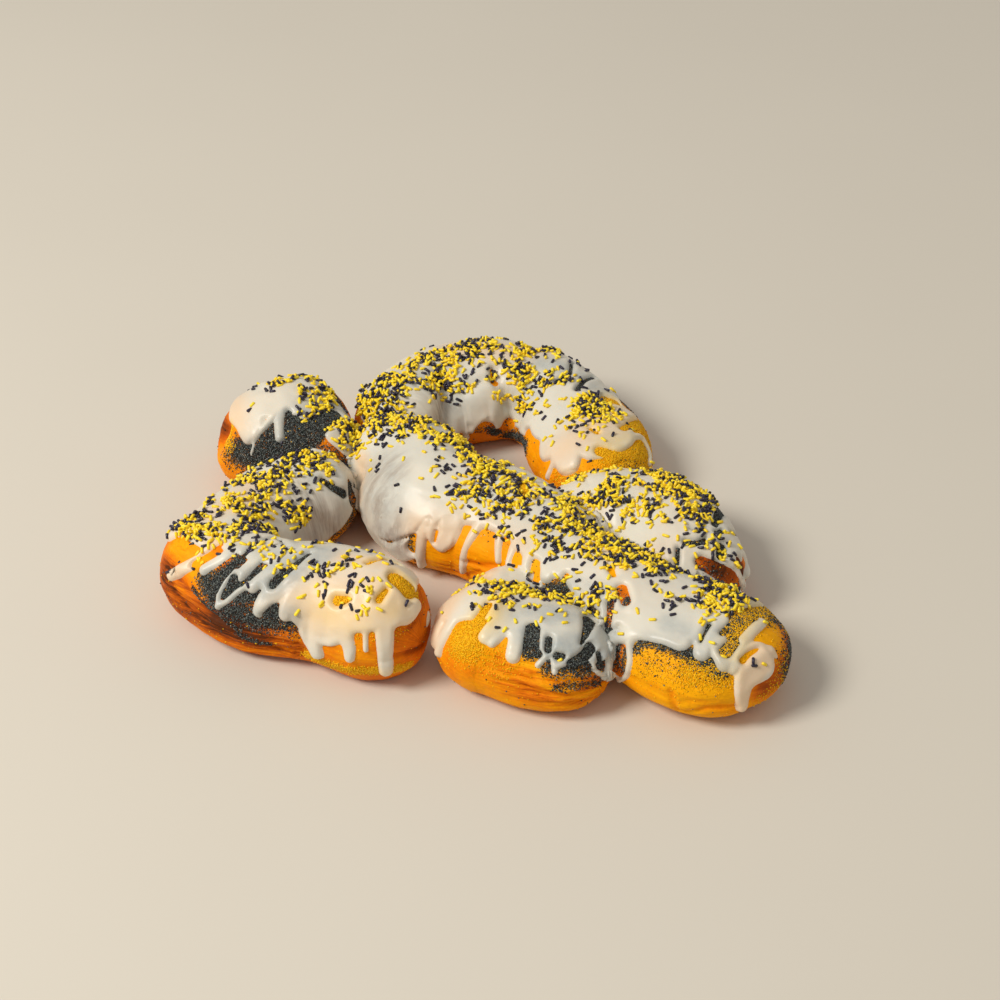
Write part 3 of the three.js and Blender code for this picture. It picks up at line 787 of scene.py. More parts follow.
    def _locate(self, points: Array) -> tuple[Array, ...]:
        """Finds where a few points lie on this roll.

        Args:
            points: in millimetres.

        Returns:
            The fields of their places.
        """
        plan = points[:, :2].astype(np.float32)
        line = self.centre.astype(np.float32)
        nearest = ((line**2).sum(1)[None] - 2 * plan @ line.T).argmin(1)
        away = points[:, :2] - self.centre[nearest]
        heading = self.heading[nearest]
        ahead = (away * heading).sum(1)
        share = np.clip(self.stations[nearest] + ahead / self.length, 0, 1)
        across = away[:, 1] * heading[:, 0] - away[:, 0] * heading[:, 1]
        width, height = self.size[nearest].T
        middle = height * FLANK
        rise = points[:, 2] - middle
        half = np.where(rise > 0, height - middle, middle * TUCK)
        beyond = np.where((nearest == 0) | (nearest == self.STATIONS - 1), np.abs(ahead), 0) / width
        q_along = np.sqrt(np.clip(1 - self.shrink(share) ** 2, 0, 1)) + beyond
        q_side, q_up = across / width, rise / half
        level = np.hypot(q_along, q_side)
        radial = np.hypot(level, q_up)
        descent = np.degrees(np.arctan2(level, q_up))
        angle = np.degrees(np.arctan2(q_side, q_up))
        sideways = np.abs(q_side) / np.maximum(level, self.TINY)
        return share, angle, descent, radial, sideways

    def icing_reach(self, places: Places) -> Array:
        """How far down the icing reaches at each place.

        Args:
            places: places on this roll.

        Returns:
            Degrees from the crest.
        """
        left, right = (np.interp(places.share, np.linspace(0, 1, len(values)), values)
                       for values in (self.shape.left, self.shape.right))
        flank = np.where(places.angle > 0, left, right)
        tip = np.where(places.share < 0.5, *self.shape.tips)
        return tip + (flank - tip) * places.sideways**2


class Survey:
    """What is known of the points of a surface: where they lie on each roll, and whose they are."""

    def __init__(self, rolls: dict[str, Roll], points: Array) -> None:
        """Locates the points on every roll.

        Args:
            rolls: the rolls by their names.
            points: in millimetres.
        """
        self.rolls = list(rolls.values())
        self.points = points
        self.places = [roll.locate(points) for roll in self.rolls]
        self.owner = np.argmin([places.radial for places in self.places], axis=0)

    def owned(self, name: str) -> Array:
        """One field of the places, on the roll that owns each point."""
        return np.choose(self.owner, [getattr(places, name) for places in self.places])

    def along_and_around(self) -> Array:
        """How far along and round its owning roll each point lies.

        Returns:
            Millimetres in two columns.
        """
        lengths = np.array([roll.length for roll in self.rolls])[self.owner]
        girths = np.array([roll.girth for roll in self.rolls])[self.owner]
        return np.column_stack([self.owned("share") * lengths, self.owned("angle") * girths])

    def stretched(self, size: Pair, rise: float) -> Array:
        """Where noise is read that is stretched along the rolls.

        Args:
            size: of its features, along and round a roll.
            rise: how fast it changes with height.

        Returns:
            One place for each point.
        """
        return np.column_stack([self.along_and_around() / size, self.points[:, 2] * rise])

    def note_grain(self, piece: Piece) -> None:
        """Notes, for the materials, how far along and round its roll each vertex lies."""
        run = self.along_and_around()
        label(piece, "grain", np.column_stack([run, np.zeros(len(run))]) * MM)


class ValueNoise:
    """Smooth random values in space, from -1 to 1, the same at each run."""

    SIDE = 32
    SHIFT = 7.3  # between one octave and the next

    def __init__(self, seed: int) -> None:
        """Fills the lattice that the values are read from."""
        self.lattice = np.random.default_rng(seed).uniform(-1, 1, (self.SIDE,) * 3)

    def at(self, points: Array, size: float) -> Array:
        """Reads the noise.

        Args:
            points: where.
            size: of the features, in the points' unit.

        Returns:
            A value for each point.
        """
        grid = points / size
        base = np.floor(grid).astype(int)
        part = grid - base
        part = part * part * (3 - 2 * part)
        total = np.zeros(len(points))
        for corner in np.ndindex(2, 2, 2):
            x, y, z = ((base + corner) % self.SIDE).T
            weight = np.prod(np.where(np.array(corner) == 1, part, 1 - part), axis=1)
            total += weight * self.lattice[x, y, z]
        return total

    def fractal(self, points: Array, size: float, octaves: int = 3) -> Array:
        """Adds finer and weaker noise to the noise at a size."""
        return sum(self.at(points + self.SHIFT * k, size / 2**k) / 2**k for k in range(octaves))


def unit(vectors: Array) -> Array:
    """The same directions, one unit long."""
    return vectors / np.linalg.norm(vectors, axis=1, keepdims=True)


def smoothstep(low: float, high: float, value: Array) -> Array:
    """Rises from 0 at low to 1 at high, gently at both."""
    t = np.clip((value - low) / (high - low), 0, 1)
    return t * t * (3 - 2 * t)


def merge(a: Array, b: Array, fillet: float) -> Array:
    """The larger of two distances, with a fillet where they meet."""
    h = np.clip(0.5 + 0.5 * (a - b) / fillet, 0, 1)
    return b + (a - b) * h + fillet * h * (1 - h)


def carve(a: Array, b: Array, fillet: float) -> Array:
    """The smaller of two distances, with a fillet where they meet."""
    return -merge(-a, -b, fillet)


# ---- meshes ----


def select(*pieces: Piece) -> None:
    """Selects these pieces alone, and makes the first one active.

    Args:
        pieces: what is selected.
    """
    bpy.ops.object.select_all(action="DESELECT")
    for piece in pieces:
        piece.select_set(True)
    if pieces:
        bpy.context.view_layer.objects.active = pieces[0]


def apply_modifier(piece: Piece, kind: str, **settings: object) -> None:
    """Adds a modifier, and applies it.

    Args:
        piece: the piece.
        kind: the modifier's type.
        settings: its settings.
    """
    select(piece)
    modifier = piece.modifiers.new(kind.title(), kind)
    for name, value in settings.items():
        setattr(modifier, name, value)
    bpy.ops.object.modifier_apply(modifier=modifier.name)


def read_items(items: Sequence, name: str, kind: type, width: int = 1) -> Array:
    """Reads one property of many items at once.

    Args:
        items: vertices, edges, faces or loops.
        name: the property.
        kind: the kind of its numbers.
        width: how many numbers each item has.

    Returns:
        One row for each item.
    """
    flat = np.empty(len(items) * width, kind)
    items.foreach_get(name, flat)
    return flat.reshape(-1, width)


def read_points(piece: Piece) -> Array:
    """A piece's vertices, in millimetres."""
    return read_items(piece.data.vertices, "co", np.float32, 3).astype(float) / MM


def write_points(piece: Piece, points: Array) -> None:
    """Moves a piece's vertices to points in millimetres."""
    piece.data.vertices.foreach_set("co", (points * MM).astype(np.float32).ravel())
    piece.data.update()


def read_normals(piece: Piece) -> Array:
    """The normals at a piece's vertices."""
    return read_items(piece.data.vertex_normals, "vector", np.float32, 3).astype(float)


def read_edges(piece: Piece) -> Array:
    """The two vertices of each edge."""
    return read_items(piece.data.edges, "vertices", np.int32, 2)


def read_triangles(piece: Piece) -> Array:
    """The three vertices of each triangle."""
    piece.data.calc_loop_triangles()
    return read_items(piece.data.loop_triangles, "vertices", np.int32, 3)


def face_values(piece: Piece, values: Array) -> Array:
    """The largest of the vertices' values on each face.

    Args:
        piece: the piece.
        values: one for each vertex.

    Returns:
        One for each face.
    """
    corners = read_items(piece.data.loops, "vertex_index", np.int32)[:, 0]
    starts = read_items(piece.data.polygons, "loop_start", np.int32)[:, 0]
    return np.maximum.reduceat(values[corners], starts)


def label(piece: Piece, name: str, values: Array) -> None:
    """Notes a number, or a direction, at each vertex for the materials.

    Args:
        piece: the piece.
        name: what it's noted as.
        values: one, or a row of three, for each vertex.
    """
    vector = values.ndim == 2
    layer = piece.data.attributes.new(name, "FLOAT_VECTOR" if vector else "FLOAT", "POINT")
    layer.data.foreach_set("vector" if vector else "value", values.astype(np.float32).ravel())


def relax(values: Array, edges: Array, rounds: int) -> Array:
    """Averages values with their neighbours'.

    Args:
        values: one, or one row, for each vertex.
        edges: the vertices of each edge.
        rounds: how many times.

    Returns:
        The averaged values.
    """
    count = len(values)
    degree = np.maximum(np.bincount(edges.ravel(), minlength=count), 1)
    columns = values if values.ndim == 2 else values[:, None]
    for _ in range(rounds):
        total = [np.bincount(edges[:, 0], column[edges[:, 1]], count)
                 + np.bincount(edges[:, 1], column[edges[:, 0]], count) for column in columns.T]
        columns = 0.5 * columns + 0.5 * np.column_stack(total) / degree[:, None]
    return columns if values.ndim == 2 else columns[:, 0]


class Part(Enum):
    """The parts of a mesh that can be picked."""

    FACE = "polygons"
    EDGE = "edges"


def pick(piece: Piece, part: Part, chosen: Sequence[bool]) -> None:
    """Selects parts of a piece, and starts to edit it.

    Args:
        piece: the piece.
        part: faces or edges.
        chosen: whether each one is selected.
    """
    select(piece)
    bpy.ops.object.mode_set(mode="EDIT")
    bpy.ops.mesh.select_mode(type=part.name)
    bpy.ops.mesh.select_all(action="DESELECT")
    bpy.ops.object.mode_set(mode="OBJECT")
    getattr(piece.data, part.value).foreach_set("select", chosen)
    bpy.ops.object.mode_set(mode="EDIT")


def keep_faces(piece: Piece, kept: Array) -> None:
    """Deletes the other faces of a piece.

    Args:
        piece: the piece.
        kept: whether each face is kept.
    """
    pick(piece, Part.FACE, ~kept)
    bpy.ops.mesh.delete(type="FACE")
    bpy.ops.object.mode_set(mode="OBJECT")


def thin_out(piece: Piece, hidden: Array, share: float, most: int) -> None:
    """Thins a piece out, first where it's hidden.

    Args:
        piece: the piece.
        hidden: which of its vertices nobody sees.
        share: how much is left of the triangles there.
        most: how many triangles the whole may have.
    """
    group = piece.vertex_groups.new(name="hidden")
    group.add(np.flatnonzero(hidden).tolist(), 1.0, "REPLACE")
    unseen = hidden[read_triangles(piece)].all(1).mean()
    apply_modifier(piece, "DECIMATE", ratio=1 - unseen * (1 - share), vertex_group=group.name)
    piece.vertex_groups.clear()
    count = len(read_triangles(piece))
    if count > most:
        apply_modifier(piece, "DECIMATE", ratio=most / count)


def triangle_piece(name: str, points: Array, triangles: Array) -> Piece:
    """Makes a piece of triangles.

    Args:
        name: the piece's name.
        points: in millimetres.
        triangles: the points of each one.

    Returns:
        The piece.
    """
    mesh = bpy.data.meshes.new(name)
    mesh.vertices.add(len(points))
    mesh.vertices.foreach_set("co", (points * MM).astype(np.float32).ravel())
    mesh.loops.add(triangles.size)
    mesh.loops.foreach_set("vertex_index", triangles.astype(np.int32).ravel())
    mesh.polygons.add(len(triangles))
    mesh.polygons.foreach_set("loop_start", np.arange(0, triangles.size, 3, dtype=np.int32))
    mesh.update(calc_edges=True)
    piece = bpy.data.objects.new(name, mesh)
    bpy.context.scene.collection.objects.link(piece)
    return piece


def dress(piece: Piece, material: bpy.types.Material) -> None:
    """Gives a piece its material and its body.

    Args:
        piece: the piece.
        material: what it's made of.
    """
    piece.data.materials.clear()
    piece.data.materials.append(material)
    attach(piece, "root")


# ---- the camera and the canvas ----


@dataclass(frozen=True)
class Viewpoint:
    """Where the camera stands, in millimetres and degrees, and its 1000 by 1000 frame."""

    eye: Triple = (743.71, -976.71, 971.87)
    turn: Triple = (53.2526, 0.1282, 37.0426)
    focal: float = 2217.93  # pixels
    side: float = 1000.0  # of the frame, in pixels
    sensor: float = 36.0

    @property
    def axes(self) -> Matrix:
        """The camera's right, up and back directions, as columns."""
        x, y, z = (math.radians(degrees) for degrees in self.turn)
        return Matrix.Rotation(z, 3, "Z") @ Matrix.Rotation(y, 3, "Y") @ Matrix.Rotation(x, 3, "X")

    def ray(self, spot: Spot) -> tuple[Vector, Vector]:
        """The eye, and the direction that it looks in for a spot of its frame."""
        local = Vector((spot[0] - self.side / 2, self.side / 2 - spot[1], -self.focal))
        return Vector(self.eye), (self.axes @ local).normalized()

    def place_camera(self) -> Piece:
        """Adds the scene's camera.

        Returns:
            The camera.
        """
        data = bpy.data.cameras.new("camera")
        data.sensor_width = self.sensor
        data.lens = self.focal / self.side * self.sensor
        camera = bpy.data.objects.new("camera", data)
        bpy.context.scene.collection.objects.link(camera)
        camera.matrix_world = Matrix.Translation(Vector(self.eye) * MM) @ self.axes.to_4x4()
        bpy.context.scene.camera = camera
        return camera


class Canvas:
    """The surface of the bread, which strokes are painted on."""

    STEP = 1.2  # millimetres between the points of a traced stroke
    MARGIN = 14.0  # how far from a stroke it is still measured
    MISSED_LEVEL = 30.0  # a spot beside the bread is taken at this height, then moved onto it
    CHUNK = 4000  # points measured at once

    def __init__(self, rolls: dict[str, Roll], view: Viewpoint, bread: Piece) -> None:
        """Makes a search tree of the bread's faces.

        Args:
            rolls: the rolls by their names.
            view: where strokes are placed from.
            bread: the fused dough.
        """
        self.rolls, self.view = rolls, view
        faces = [tuple(face.vertices) for face in bread.data.polygons]
        self.tree = BVHTree.FromPolygons(read_points(bread).tolist(), faces)

    def _spot(self, stroke: Stroke, spot: Spot) -> Vector:
        """The point of the surface that a spot names.

        Args:
            stroke: the stroke that it belongs to.
            spot: one of its spots.

        Returns:
            The point, in millimetres.
        """
        if stroke.roll:
            roll = self.rolls[stroke.roll]
            share = np.array([spot[0]])
            point = roll.surface(share, np.array([spot[1]]), roll.shrink(share))[0]
            return self.tree.find_nearest(Vector(point))[0]
        eye, ahead = self.view.ray(spot)
        hit = self.tree.ray_cast(eye, ahead)[0]
        if hit is None:
            beside = eye + ahead * ((self.MISSED_LEVEL - eye.z) / ahead.z)
            hit = self.tree.find_nearest(beside)[0]
        return hit

    def trace(self, stroke: Stroke) -> tuple[Array, Array]:
        """Follows a stroke over the surface.

        Args:
            stroke: the stroke to follow.

        Returns:
            Its points, close together on the surface, and its half width at each.
        """
        corners = [self._spot(stroke, spot) for spot in stroke.spots]
        path = Spline([list(corner) for corner in corners])
        length = sum((b - a).length for a, b in zip(corners, corners[1:]))
        shares = np.linspace(0, 1, max(3, int(length / self.STEP)))
        snapped = [self.tree.find_nearest(Vector(point))[0] for point in path.at(shares)]
        return np.array(snapped), np.interp(shares, (0, 1), stroke.widths) / 2

    def depth(self, stroke: Stroke, points: Array) -> Array:
        """How far inside a stroke points lie.

        Args:
            stroke: the stroke.
            points: in millimetres.

        Returns:
            Millimetres, negative outside it.
        """
        line, radii = self.trace(stroke)
        result = np.full(len(points), -self.MARGIN)
        reach = radii.max() + self.MARGIN
        near = np.all((points > line.min(0) - reach) & (points < line.max(0) + reach), axis=1)
        chosen = np.flatnonzero(near)
        for part in np.array_split(chosen, len(chosen) // self.CHUNK + 1):
            if len(part):
                apart = np.linalg.norm(points[part, None] - line[None], axis=2)
                result[part] = np.maximum((radii - apart).max(1), -self.MARGIN)
        return result

    def _strength(self, stroke: Stroke, points: Array) -> Array:
        """How strong a soft stroke is at each point."""
        return smoothstep(-stroke.soft, stroke.soft, self.depth(stroke, points)) * stroke.amount

    def paint(self, strokes: Sequence[Stroke], points: Array) -> Array:
        """The strongest of several soft strokes.

        Args:
            strokes: what is painted.
            points: where it is read.

        Returns:
            0 beside them all, and their amount inside them.
        """
        total = np.zeros(len(points))
        for stroke in strokes:
            total = np.maximum(total, self._strength(stroke, points))
        return total

    def add_up(self, strokes: Sequence[Stroke], points: Array) -> Array:
        """The sum of several soft strokes at each point."""
        return sum(self._strength(stroke, points) for stroke in strokes)

    def relief(self, strokes: Sequence[Stroke], points: Array) -> Array:
        """The sum of several round ridges.

        Args:
            strokes: the ridges.
            points: where they are read.

        Returns:
            Millimetres at each point.
        """
        total = np.zeros(len(points))
        for stroke in strokes:
            radius = stroke.widths[0] / 2
            apart = radius - self.depth(stroke, points)
            total += stroke.amount * np.exp(-((apart / radius) ** 2))
        return total


# ---- the bread ----


@dataclass
class Bread:
    """The baked dough: every roll fused into one body, with its folds, wrinkles and swells."""

    rolls: dict[str, Roll]
    view: Viewpoint
    voxel: float = 1.5
    steps_round: int = 44
    ring_length: float = 5.0
    end_rings: int = 16
    smoothing: int = 3
    relief_heights: Pair = (0.2, 4.0)  # over which the relief grows from nothing
    wrinkle_depth: float = 1.5
    wrinkle_size: Pair = (24.0, 3.2)  # along and round a roll
    wrinkle_rise: float = 0.02
    least_wrinkled: float = 0.12
    deepest_fold: float = 2.6
    lump_height: float = 0.6
    lump_size: float = 16.0
    bake_blending: int = 12  # rounds, between one roll's browning and the next's
    patches: float = 0.14
    patch_size: float = 26.0
    browner_below: float = 12.0
    underside: float = 0.16  # how much browner the crust is at the floor
    fold_shade: float = 0.16  # how much darker the crust is painted for each millimetre of a fold's depth: painted shade in the folds
    fold_shade_depth: float = 1.5  # up to which the painted shade gets darker
    iced_inset: float = 1.0  # the dough sits this much lower under the icing
    inset_depths: Pair = (1.0, 5.0)  # inside the icing's edge, over which it lowers
    inset_heights: Pair = (1.0, 6.0)
    hidden_depth: float = 4.0  # this far inside the icing's edge no dough is seen
    foot_height: float = 0.3  # nor below this
    hidden_share: float = 0.12  # of the hidden triangles is left
    most_triangles: int = 195000
    noise: ValueNoise = field(default_factory=lambda: ValueNoise(11))
    piece: Piece = field(init=False)
    canvas: Canvas = field(init=False)
    survey: Survey = field(init=False)

    def build(self) -> Piece:
        """Fuses the rolls, then presses the folds into them.

        Returns:
            The dough.
        """
        shells = [self._shell(name, roll) for name, roll in self.rolls.items()]
        select(*shells)
        bpy.ops.object.join()
        self.piece = bpy.context.view_layer.objects.active
        self.piece.name = self.piece.data.name = "baked_dough"
        apply_modifier(self.piece, "REMESH", mode="VOXEL", voxel_size=self.voxel * MM)
        apply_modifier(self.piece, "SMOOTH", factor=0.5, iterations=self.smoothing)
        self.canvas = Canvas(self.rolls, self.view, self.piece)
        self._press()
        bpy.ops.object.shade_smooth()
        return self.piece

    def _shell(self, name: str, roll: Roll) -> Piece:
        """Models one roll: a sphere whose rings are moved onto the roll's sections.

        Args:
            name: its name.
            roll: its shape.

        Returns:
            The piece.
        """
        rings = int(roll.length / self.ring_length) + self.end_rings
        select()
        bpy.ops.mesh.primitive_uv_sphere_add(
            segments=self.steps_round, ring_count=rings, radius=1, location=(0, 0, 0))
        shell = bpy.context.view_layer.objects.active
        shell.name = name
        ball = read_points(shell) * MM
        reach = np.round(np.arccos(np.clip(ball[:, 2], -1, 1)) / math.pi * rings) / rings
        angle = np.degrees(np.arctan2(ball[:, 1], ball[:, 0]))
        share, shrink = roll.profile(reach)
        write_points(shell, roll.surface(share, angle, shrink))
        return shell

    def _press(self) -> None:
        """Moves the vertices in for folds and wrinkles, and out for lumps."""
        points, normals = read_points(self.piece), read_normals(self.piece)
        self.survey = Survey(self.rolls, points)
        stretched = self.survey.stretched(self.wrinkle_size, self.wrinkle_rise)
        wrinkled = self.least_wrinkled + self.canvas.paint(WRINKLES, points)
        wrinkles = self.noise.fractal(stretched, 1.0, 2) * wrinkled * self.wrinkle_depth
        lumps = self.noise.fractal(points, self.lump_size, 2) * self.lump_height
        folds = np.minimum(self.canvas.relief(FOLDS, points), self.deepest_fold)
        lumps = lumps + self.canvas.relief(LUMPS, points)
        out = (wrinkles + lumps - folds) * smoothstep(*self.relief_heights, points[:, 2])
        moved = points + normals * out[:, None]
        moved[:, 2] = np.maximum(moved[:, 2], 0)
        write_points(self.piece, moved)

    def settle(self, covered: Array) -> None:
        """Lowers the dough a little where the icing covers it.

        Args:
            covered: how far inside the icing's edge each vertex is, in millimetres.
        """
        points, normals = read_points(self.piece), read_normals(self.piece)
        deep = smoothstep(*self.inset_depths, covered)
        inset = self.iced_inset * deep * smoothstep(*self.inset_heights, points[:, 2])
        write_points(self.piece, points - normals * inset[:, None])
        hidden = np.maximum(covered > self.hidden_depth, points[:, 2] < self.foot_height)
        thin_out(self.piece, hidden, self.hidden_share, self.most_triangles)
        self.survey = Survey(self.rolls, read_points(self.piece))

    def note_finish(self) -> None:
        """Notes the browning, with painted shade in the folds and on the stem's right end, the
        sugar and the grain of the crust at each vertex.
        """
        points = read_points(self.piece)
        rolls = np.array([roll.shape.bake for roll in self.survey.rolls])
        starts, ends = rolls[self.survey.owner].T
        bake = starts + (ends - starts) * self.survey.owned("share")
        bake = relax(bake, read_edges(self.piece), self.bake_blending)
        # the browning strokes include painted shade on the stem's right end
        bake = bake + self.canvas.add_up(BROWNING_AND_SHADE, points)
        bake = bake + self.patches * self.noise.fractal(points, self.patch_size, 3)
        bake = bake + self.underside * (1 - smoothstep(0, self.browner_below, points[:, 2]))
        # painted shade: the crust is darker in the folds, more where they are deeper
        bake = bake + self.fold_shade * np.clip(self.canvas.relief(FOLDS, points), 0, self.fold_shade_depth)
        # bake holds the crust's browning together with its painted shade
        label(self.piece, "bake", np.clip(bake, 0, 1))
        for name, table in (("dark_sugar", DARK_SUGAR_AND_SHADE), ("yellow_sugar", YELLOW_SUGAR),
                            ("wrinkled", WRINKLES)):
            label(self.piece, name, self.canvas.paint(table, points))
        self.survey.note_grain(self.piece)


# ---- the icing ----


@dataclass
class Icing:
    """The poured sugar glaze: a sheet over the crests that ends in rounded runs and drips."""

    bread: Bread
    thickness: float = 1.7
    thinnest: float = 0.7
    foot: float = 1.1  # what the end of a run adds
    foot_spread: float = 2.5  # how far past the run's own half width
    bead: float = 0.45  # what the rim adds
    bead_width: float = 2.2
    lip: float = 3.2  # how far from its edge the sheet is fully thick
    root: float = 0.8  # the edge dips this far into the crust
    skirt: float = 1.4  # the mesh ends this far outside the edge
    first_skirt: float = 5.0  # the same, before the faces are made finer
    fillet: float = 2.4
    wander: float = 2.6  # how far its edge strays
    wander_size: float = 13.0
    wave: float = 0.45
    wave_size: float = 15.0
    curtain: float = 0.8  # height of the flow marks on steep sides
    curtain_size: Pair = (8.0, 42.0)  # along and round a roll
    curtain_rise: float = 0.01
    steep: Pair = (40.0, 80.0)  # degrees from the crest over which the flow marks grow
    backing: float = 4.0  # its hidden side lies this far below
    outside: float = 40.0  # how far out a point counts at most
    outside_slope: float = 220.0  # how fast a roll's icing ends off that roll
    on_roll: float = 1.05  # up to this share of its size a point is on the roll
    crowded: float = 0.55  # how much thinner it is in a crease between rolls
    creases: Pair = (0.25, 1.0)  # hollows between which it gets thinner
    drip_steps: Pair = (44.0, 20.0)  # degrees above a drip's end where it starts and bends
    drip_slip: float = 0.01  # share of the roll's length that it strays by
    drip_taper: Pair = (1.2, 0.9)
    blending: tuple[int, int, int, int] = (4, 8, 1, 6)  # rounds: normals, hollows, height, face
    smooth_depths: Pair = (1.0, 4.0)  # inside its edge, over which the face is smoothed
    warmth: float = 0.12
    warm_patches: float = 0.16
    warm_size: float = 30.0
    warmest: float = 1.6
    floor: float = 0.4
    hidden_share: float = 0.06  # of the hidden triangles is left
    most_triangles: int = 195000
    noise: ValueNoise = field(default_factory=lambda: ValueNoise(23))
    piece: Piece = field(init=False)

    def cover(self, survey: Survey) -> Array:
        """How far inside the icing's edge points are.

        Args:
            survey: where the points lie.

        Returns:
            Millimetres, negative outside it.
        """
        total = np.full(len(survey.points), -self.outside)
        for roll, places in zip(survey.rolls, survey.places):
            inside = (roll.icing_reach(places) - places.descent) * roll.girth
            outside = np.maximum(0, places.radial - self.on_roll) * self.outside_slope
            total = np.maximum(total, inside - outside)
        total = total + self.wander * self.noise.fractal(survey.points, self.wander_size, 2)
        drips = [self._drip(name, *drip) for name, roll in self.bread.rolls.items()
                 for drip in roll.shape.drips]
        depth = self.bread.canvas.depth
        for stroke in (*drips, *RUNS):
            total = merge(total, depth(stroke, survey.points), self.fillet)
        for stroke in (*BARE_GAPS, *DARK_GAPS, *YELLOW_GAPS):
            total = carve(total, -depth(stroke, survey.points), self.fillet / 2)
        for stroke in CROSSING_RUNS:
            total = merge(total, depth(stroke, survey.points), self.fillet / 2)
        return total

    def _drip(self, roll: str, share: float, end: float, width: float) -> Stroke:
        """A drip down a roll's side from inside the icing's edge.

        Args:
            roll: the roll's name.
            share: where on its length.
            end: how far down it ends, in degrees.
            width: in millimetres.

        Returns:
            Its stroke.
        """
        start, bend = (end - math.copysign(step, end) for step in self.drip_steps)
        spots = ((share - self.drip_slip, start), (share, bend), (share, end))
        return Stroke(spots, tuple(width * part for part in self.drip_taper), roll=roll)

    def _feet(self, points: Array) -> Array:
        """How near points are to the end of a run.

        Args:
            points: in millimetres.

        Returns:
            1 at an end, and less round it.
        """
        near = np.zeros(len(points))
        for stroke in (*RUNS, *CROSSING_RUNS):
            line, radii = self.bread.canvas.trace(stroke)
            apart = np.linalg.norm(points - line[-1], axis=1)
            near = np.maximum(near, np.exp(-((apart / (radii[-1] + self.foot_spread)) ** 2)))
        return near

    def build(self, covered: Array) -> Piece:
        """Grows the sheet from the crust that it covers.

        Args:
            covered: how far inside the icing's edge each vertex of the bread is.

        Returns:
            The icing.
        """
        select(self.bread.piece)
        bpy.ops.object.duplicate()
        self.piece = bpy.context.view_layer.objects.active
        self.piece.name = self.piece.data.name = "poured_icing"
        keep_faces(self.piece, face_values(self.piece, covered) > -self.first_skirt)
        apply_modifier(self.piece, "SUBSURF", levels=1, render_levels=1)
        survey = Survey(self.bread.rolls, read_points(self.piece))
        depth = self.cover(survey)
        kept = face_values(self.piece, depth) > -self.skirt
        self._raise(survey, depth)
        keep_faces(self.piece, kept)
        front = len(self.piece.data.vertices)
        apply_modifier(self.piece, "SOLIDIFY", thickness=self.backing * MM, offset=-1.0)
        hidden = np.arange(len(self.piece.data.vertices)) >= front
        thin_out(self.piece, hidden, self.hidden_share, self.most_triangles)
        points = read_points(self.piece)
        points[:, 2] = np.maximum(points[:, 2], self.floor)
        write_points(self.piece, points)
        select(self.piece)
        bpy.ops.object.shade_smooth()
        return self.piece

    def _raise(self, survey: Survey, depth: Array) -> None:
        """Moves the sheet out from the crust by its thickness.

        Args:
            survey: where the sheet's vertices lie.
            depth: how far inside its edge each one is.
        """
        points, edges = survey.points, read_edges(self.piece)
        for_normals, for_hollows, for_height, for_face = self.blending
        normals = unit(relax(read_normals(self.piece), edges, for_normals))
        steep = smoothstep(*self.steep, survey.owned("descent"))
        flow = survey.stretched(self.curtain_size, self.curtain_rise)
        waves = self.wave * self.noise.fractal(points, self.wave_size, 2)
        marks = self.curtain * steep * self.noise.fractal(flow, 1.0, 2)
        full = np.maximum(self.thickness + waves + marks, self.thinnest)
        full = full + self.foot * self._feet(points)
        full = full + self.bead * np.exp(-(((depth - self.lip) / self.bead_width) ** 2))
        hollow = ((relax(points, edges, for_hollows) - points) * normals).sum(1)
        full = full * (1 - self.crowded * smoothstep(*self.creases, hollow))
        rise = np.clip((depth + self.root) / self.lip, 0, 1)
        height = -self.root + (full + self.root) * np.sqrt(1 - (1 - rise) ** 2)
        height = relax(height, edges, for_height)
        outer = points + normals * height[:, None]
        smoothed = relax(outer, edges, for_face)
        inside = smoothstep(*self.smooth_depths, depth)[:, None]
        outer = outer + (smoothed - outer) * inside
        outer[:, 2] = np.maximum(outer[:, 2], self.floor)
        write_points(self.piece, outer)

    def note_finish(self) -> None:
        """Notes what shows through the icing at each vertex, how thin it is, and where painted
        shade greys or darkens it.
        """
        points = read_points(self.piece)
        paint = self.bread.canvas.paint
        for name, table in (("over_dark", DARK_SUGAR_AND_SHADE), ("over_yellow", YELLOW_SUGAR),
                            ("thin", THIN_AND_SHADED)):
            label(self.piece, name, paint(table, points))
        patches = self.warm_patches * self.noise.fractal(points, self.warm_size, 2)
        warm = self.warmth + patches + paint(PEACH, points)
        label(self.piece, "warmth", np.clip(warm, 0, self.warmest))
        Survey(self.bread.rolls, points).note_grain(self.piece)


# ---- sprinkles and sugar ----


class Tint(Enum):
    """The two colours that sprinkles and sugar come in."""

    YELLOW = "yellow"
    DARK = "dark"


@dataclass
class Facets:
    """The faces of a surface that small things may lie on."""

    TINY: ClassVar[float] = 1e-9
    corners: Array
    centre: Array
    normal: Array
    area: Array

    @classmethod
    def of(cls, piece: Piece) -> "Facets":
        """Reads a piece's triangles.

        Args:
            piece: the piece.

        Returns:
            Its faces.
        """
        corners = read_points(piece)[read_triangles(piece)]
        cross = np.cross(corners[:, 1] - corners[:, 0], corners[:, 2] - corners[:, 0])
        double = np.linalg.norm(cross, axis=1)
        normal = cross / np.maximum(double, cls.TINY)[:, None]
        return cls(corners, corners.mean(1), normal, double / 2)

    def scatter(self, density: Array, count: int,
                random: np.random.Generator) -> tuple[Array, Array]:
        """Draws places on the faces.

        Args:
            density: how likely a place is on each face, for its area.
            count: how many places.
            random: where the draws come from.

        Returns:
            The places, and the faces' normals there.
        """
        weight = self.area * density
        chosen = random.choice(len(weight), count, p=weight / weight.sum())
        u, v = random.random((2, count))
        over = u + v > 1
        u, v = np.where(over, 1 - u, u), np.where(over, 1 - v, v)
        a, b, c = self.corners[chosen].transpose(1, 0, 2)
        return a + (b - a) * u[:, None] + (c - a) * v[:, None], self.normal[chosen]


